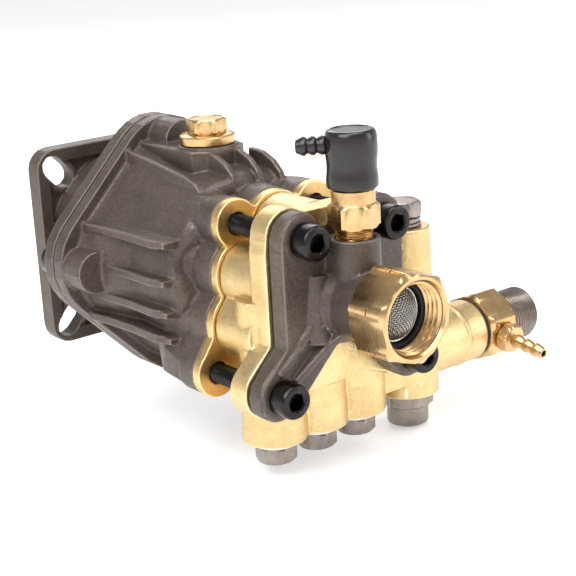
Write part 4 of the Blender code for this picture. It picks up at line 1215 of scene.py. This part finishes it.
def make_floor(low, centre):
    shape = bmesh.new()
    bmesh.ops.create_circle(shape, cap_ends=True, segments=64, radius=FLOOR_RADIUS)
    mesh = bpy.data.meshes.new("floor")
    shape.to_mesh(mesh)
    shape.free()
    floor = bpy.data.objects.new("floor", mesh)
    floor.location = (centre.x, centre.y, low.z - 0.001)
    bpy.context.scene.collection.objects.link(floor)
    surface, nodes, links, shader = new_material("floor")
    mottle = texture(nodes, links, scale=3, detail=3)
    tone = ramp(nodes, links, mottle.outputs["Fac"], FLOOR_TONES)
    links.new(tone.outputs["Color"], shader.inputs["Base Color"])
    shader.inputs["Roughness"].default_value = 0.8
    shader.inputs["Emission Color"].default_value = (1, 1, 1, 1)
    shader.inputs["Emission Strength"].default_value = FLOOR_GLOW
    floor.data.materials.append(surface)


def make_sky():
    world = bpy.data.worlds.new("studio")
    bpy.context.scene.world = world
    world.use_nodes = True
    nodes, links = world.node_tree.nodes, world.node_tree.links
    sky = nodes["Background"]
    sky.inputs["Strength"].default_value = 1.0
    place = nodes.new("ShaderNodeTexCoord")
    split = nodes.new("ShaderNodeSeparateXYZ")
    links.new(place.outputs["Generated"], split.inputs["Vector"])
    dome = ramp(nodes, links, split.outputs["Z"], SKY_TONES)
    links.new(dome.outputs["Color"], sky.inputs["Color"])


def softbox(centre, name, azimuth, elevation, distance, size, power):
    """A soft area light that faces the pump."""
    back = towards(azimuth, elevation)
    data = bpy.data.lights.new(name, "AREA")
    data.shape = "RECTANGLE"
    data.size, data.size_y = size
    data.energy = power
    light = bpy.data.objects.new(name, data)
    light.location = centre + back * distance
    light.rotation_mode = "QUATERNION"
    light.rotation_quaternion = (-back).to_track_quat("-Z", "Y")
    bpy.context.scene.collection.objects.link(light)


def make_stage():
    low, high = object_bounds()
    centre = (low + high) / 2
    make_floor(low, centre)
    make_sky()
    for settings in SOFTBOXES:
        softbox(centre, *settings)


def make_camera():
    back = towards(CAMERA_AZIMUTH, CAMERA_ELEVATION)
    aim = (-back).to_track_quat("-Z", "Y").to_matrix().to_4x4()
    data = bpy.data.cameras.new("camera")
    data.lens = CAMERA_LENS
    data.sensor_width = 36
    camera = bpy.data.objects.new("camera", data)
    roll = Matrix.Rotation(math.radians(CAMERA_ROLL), 4, "Z")
    camera.matrix_world = Matrix.Translation(CAMERA_PLACE) @ aim @ roll
    bpy.context.scene.collection.objects.link(camera)
    bpy.context.scene.camera = camera


make_castings()
make_screws()
make_oil_plug()
make_valve_plugs()
make_thermal_valve()
make_unloader_cap()
make_relief_valve()
make_relief_elbow()
make_hose_nut()
make_inlet()
make_outlet_thread()
make_injector()
make_springs()
finish_kept_nodes()
make_stage()
make_camera()
bpy.context.scene.view_settings.view_transform = "Standard"
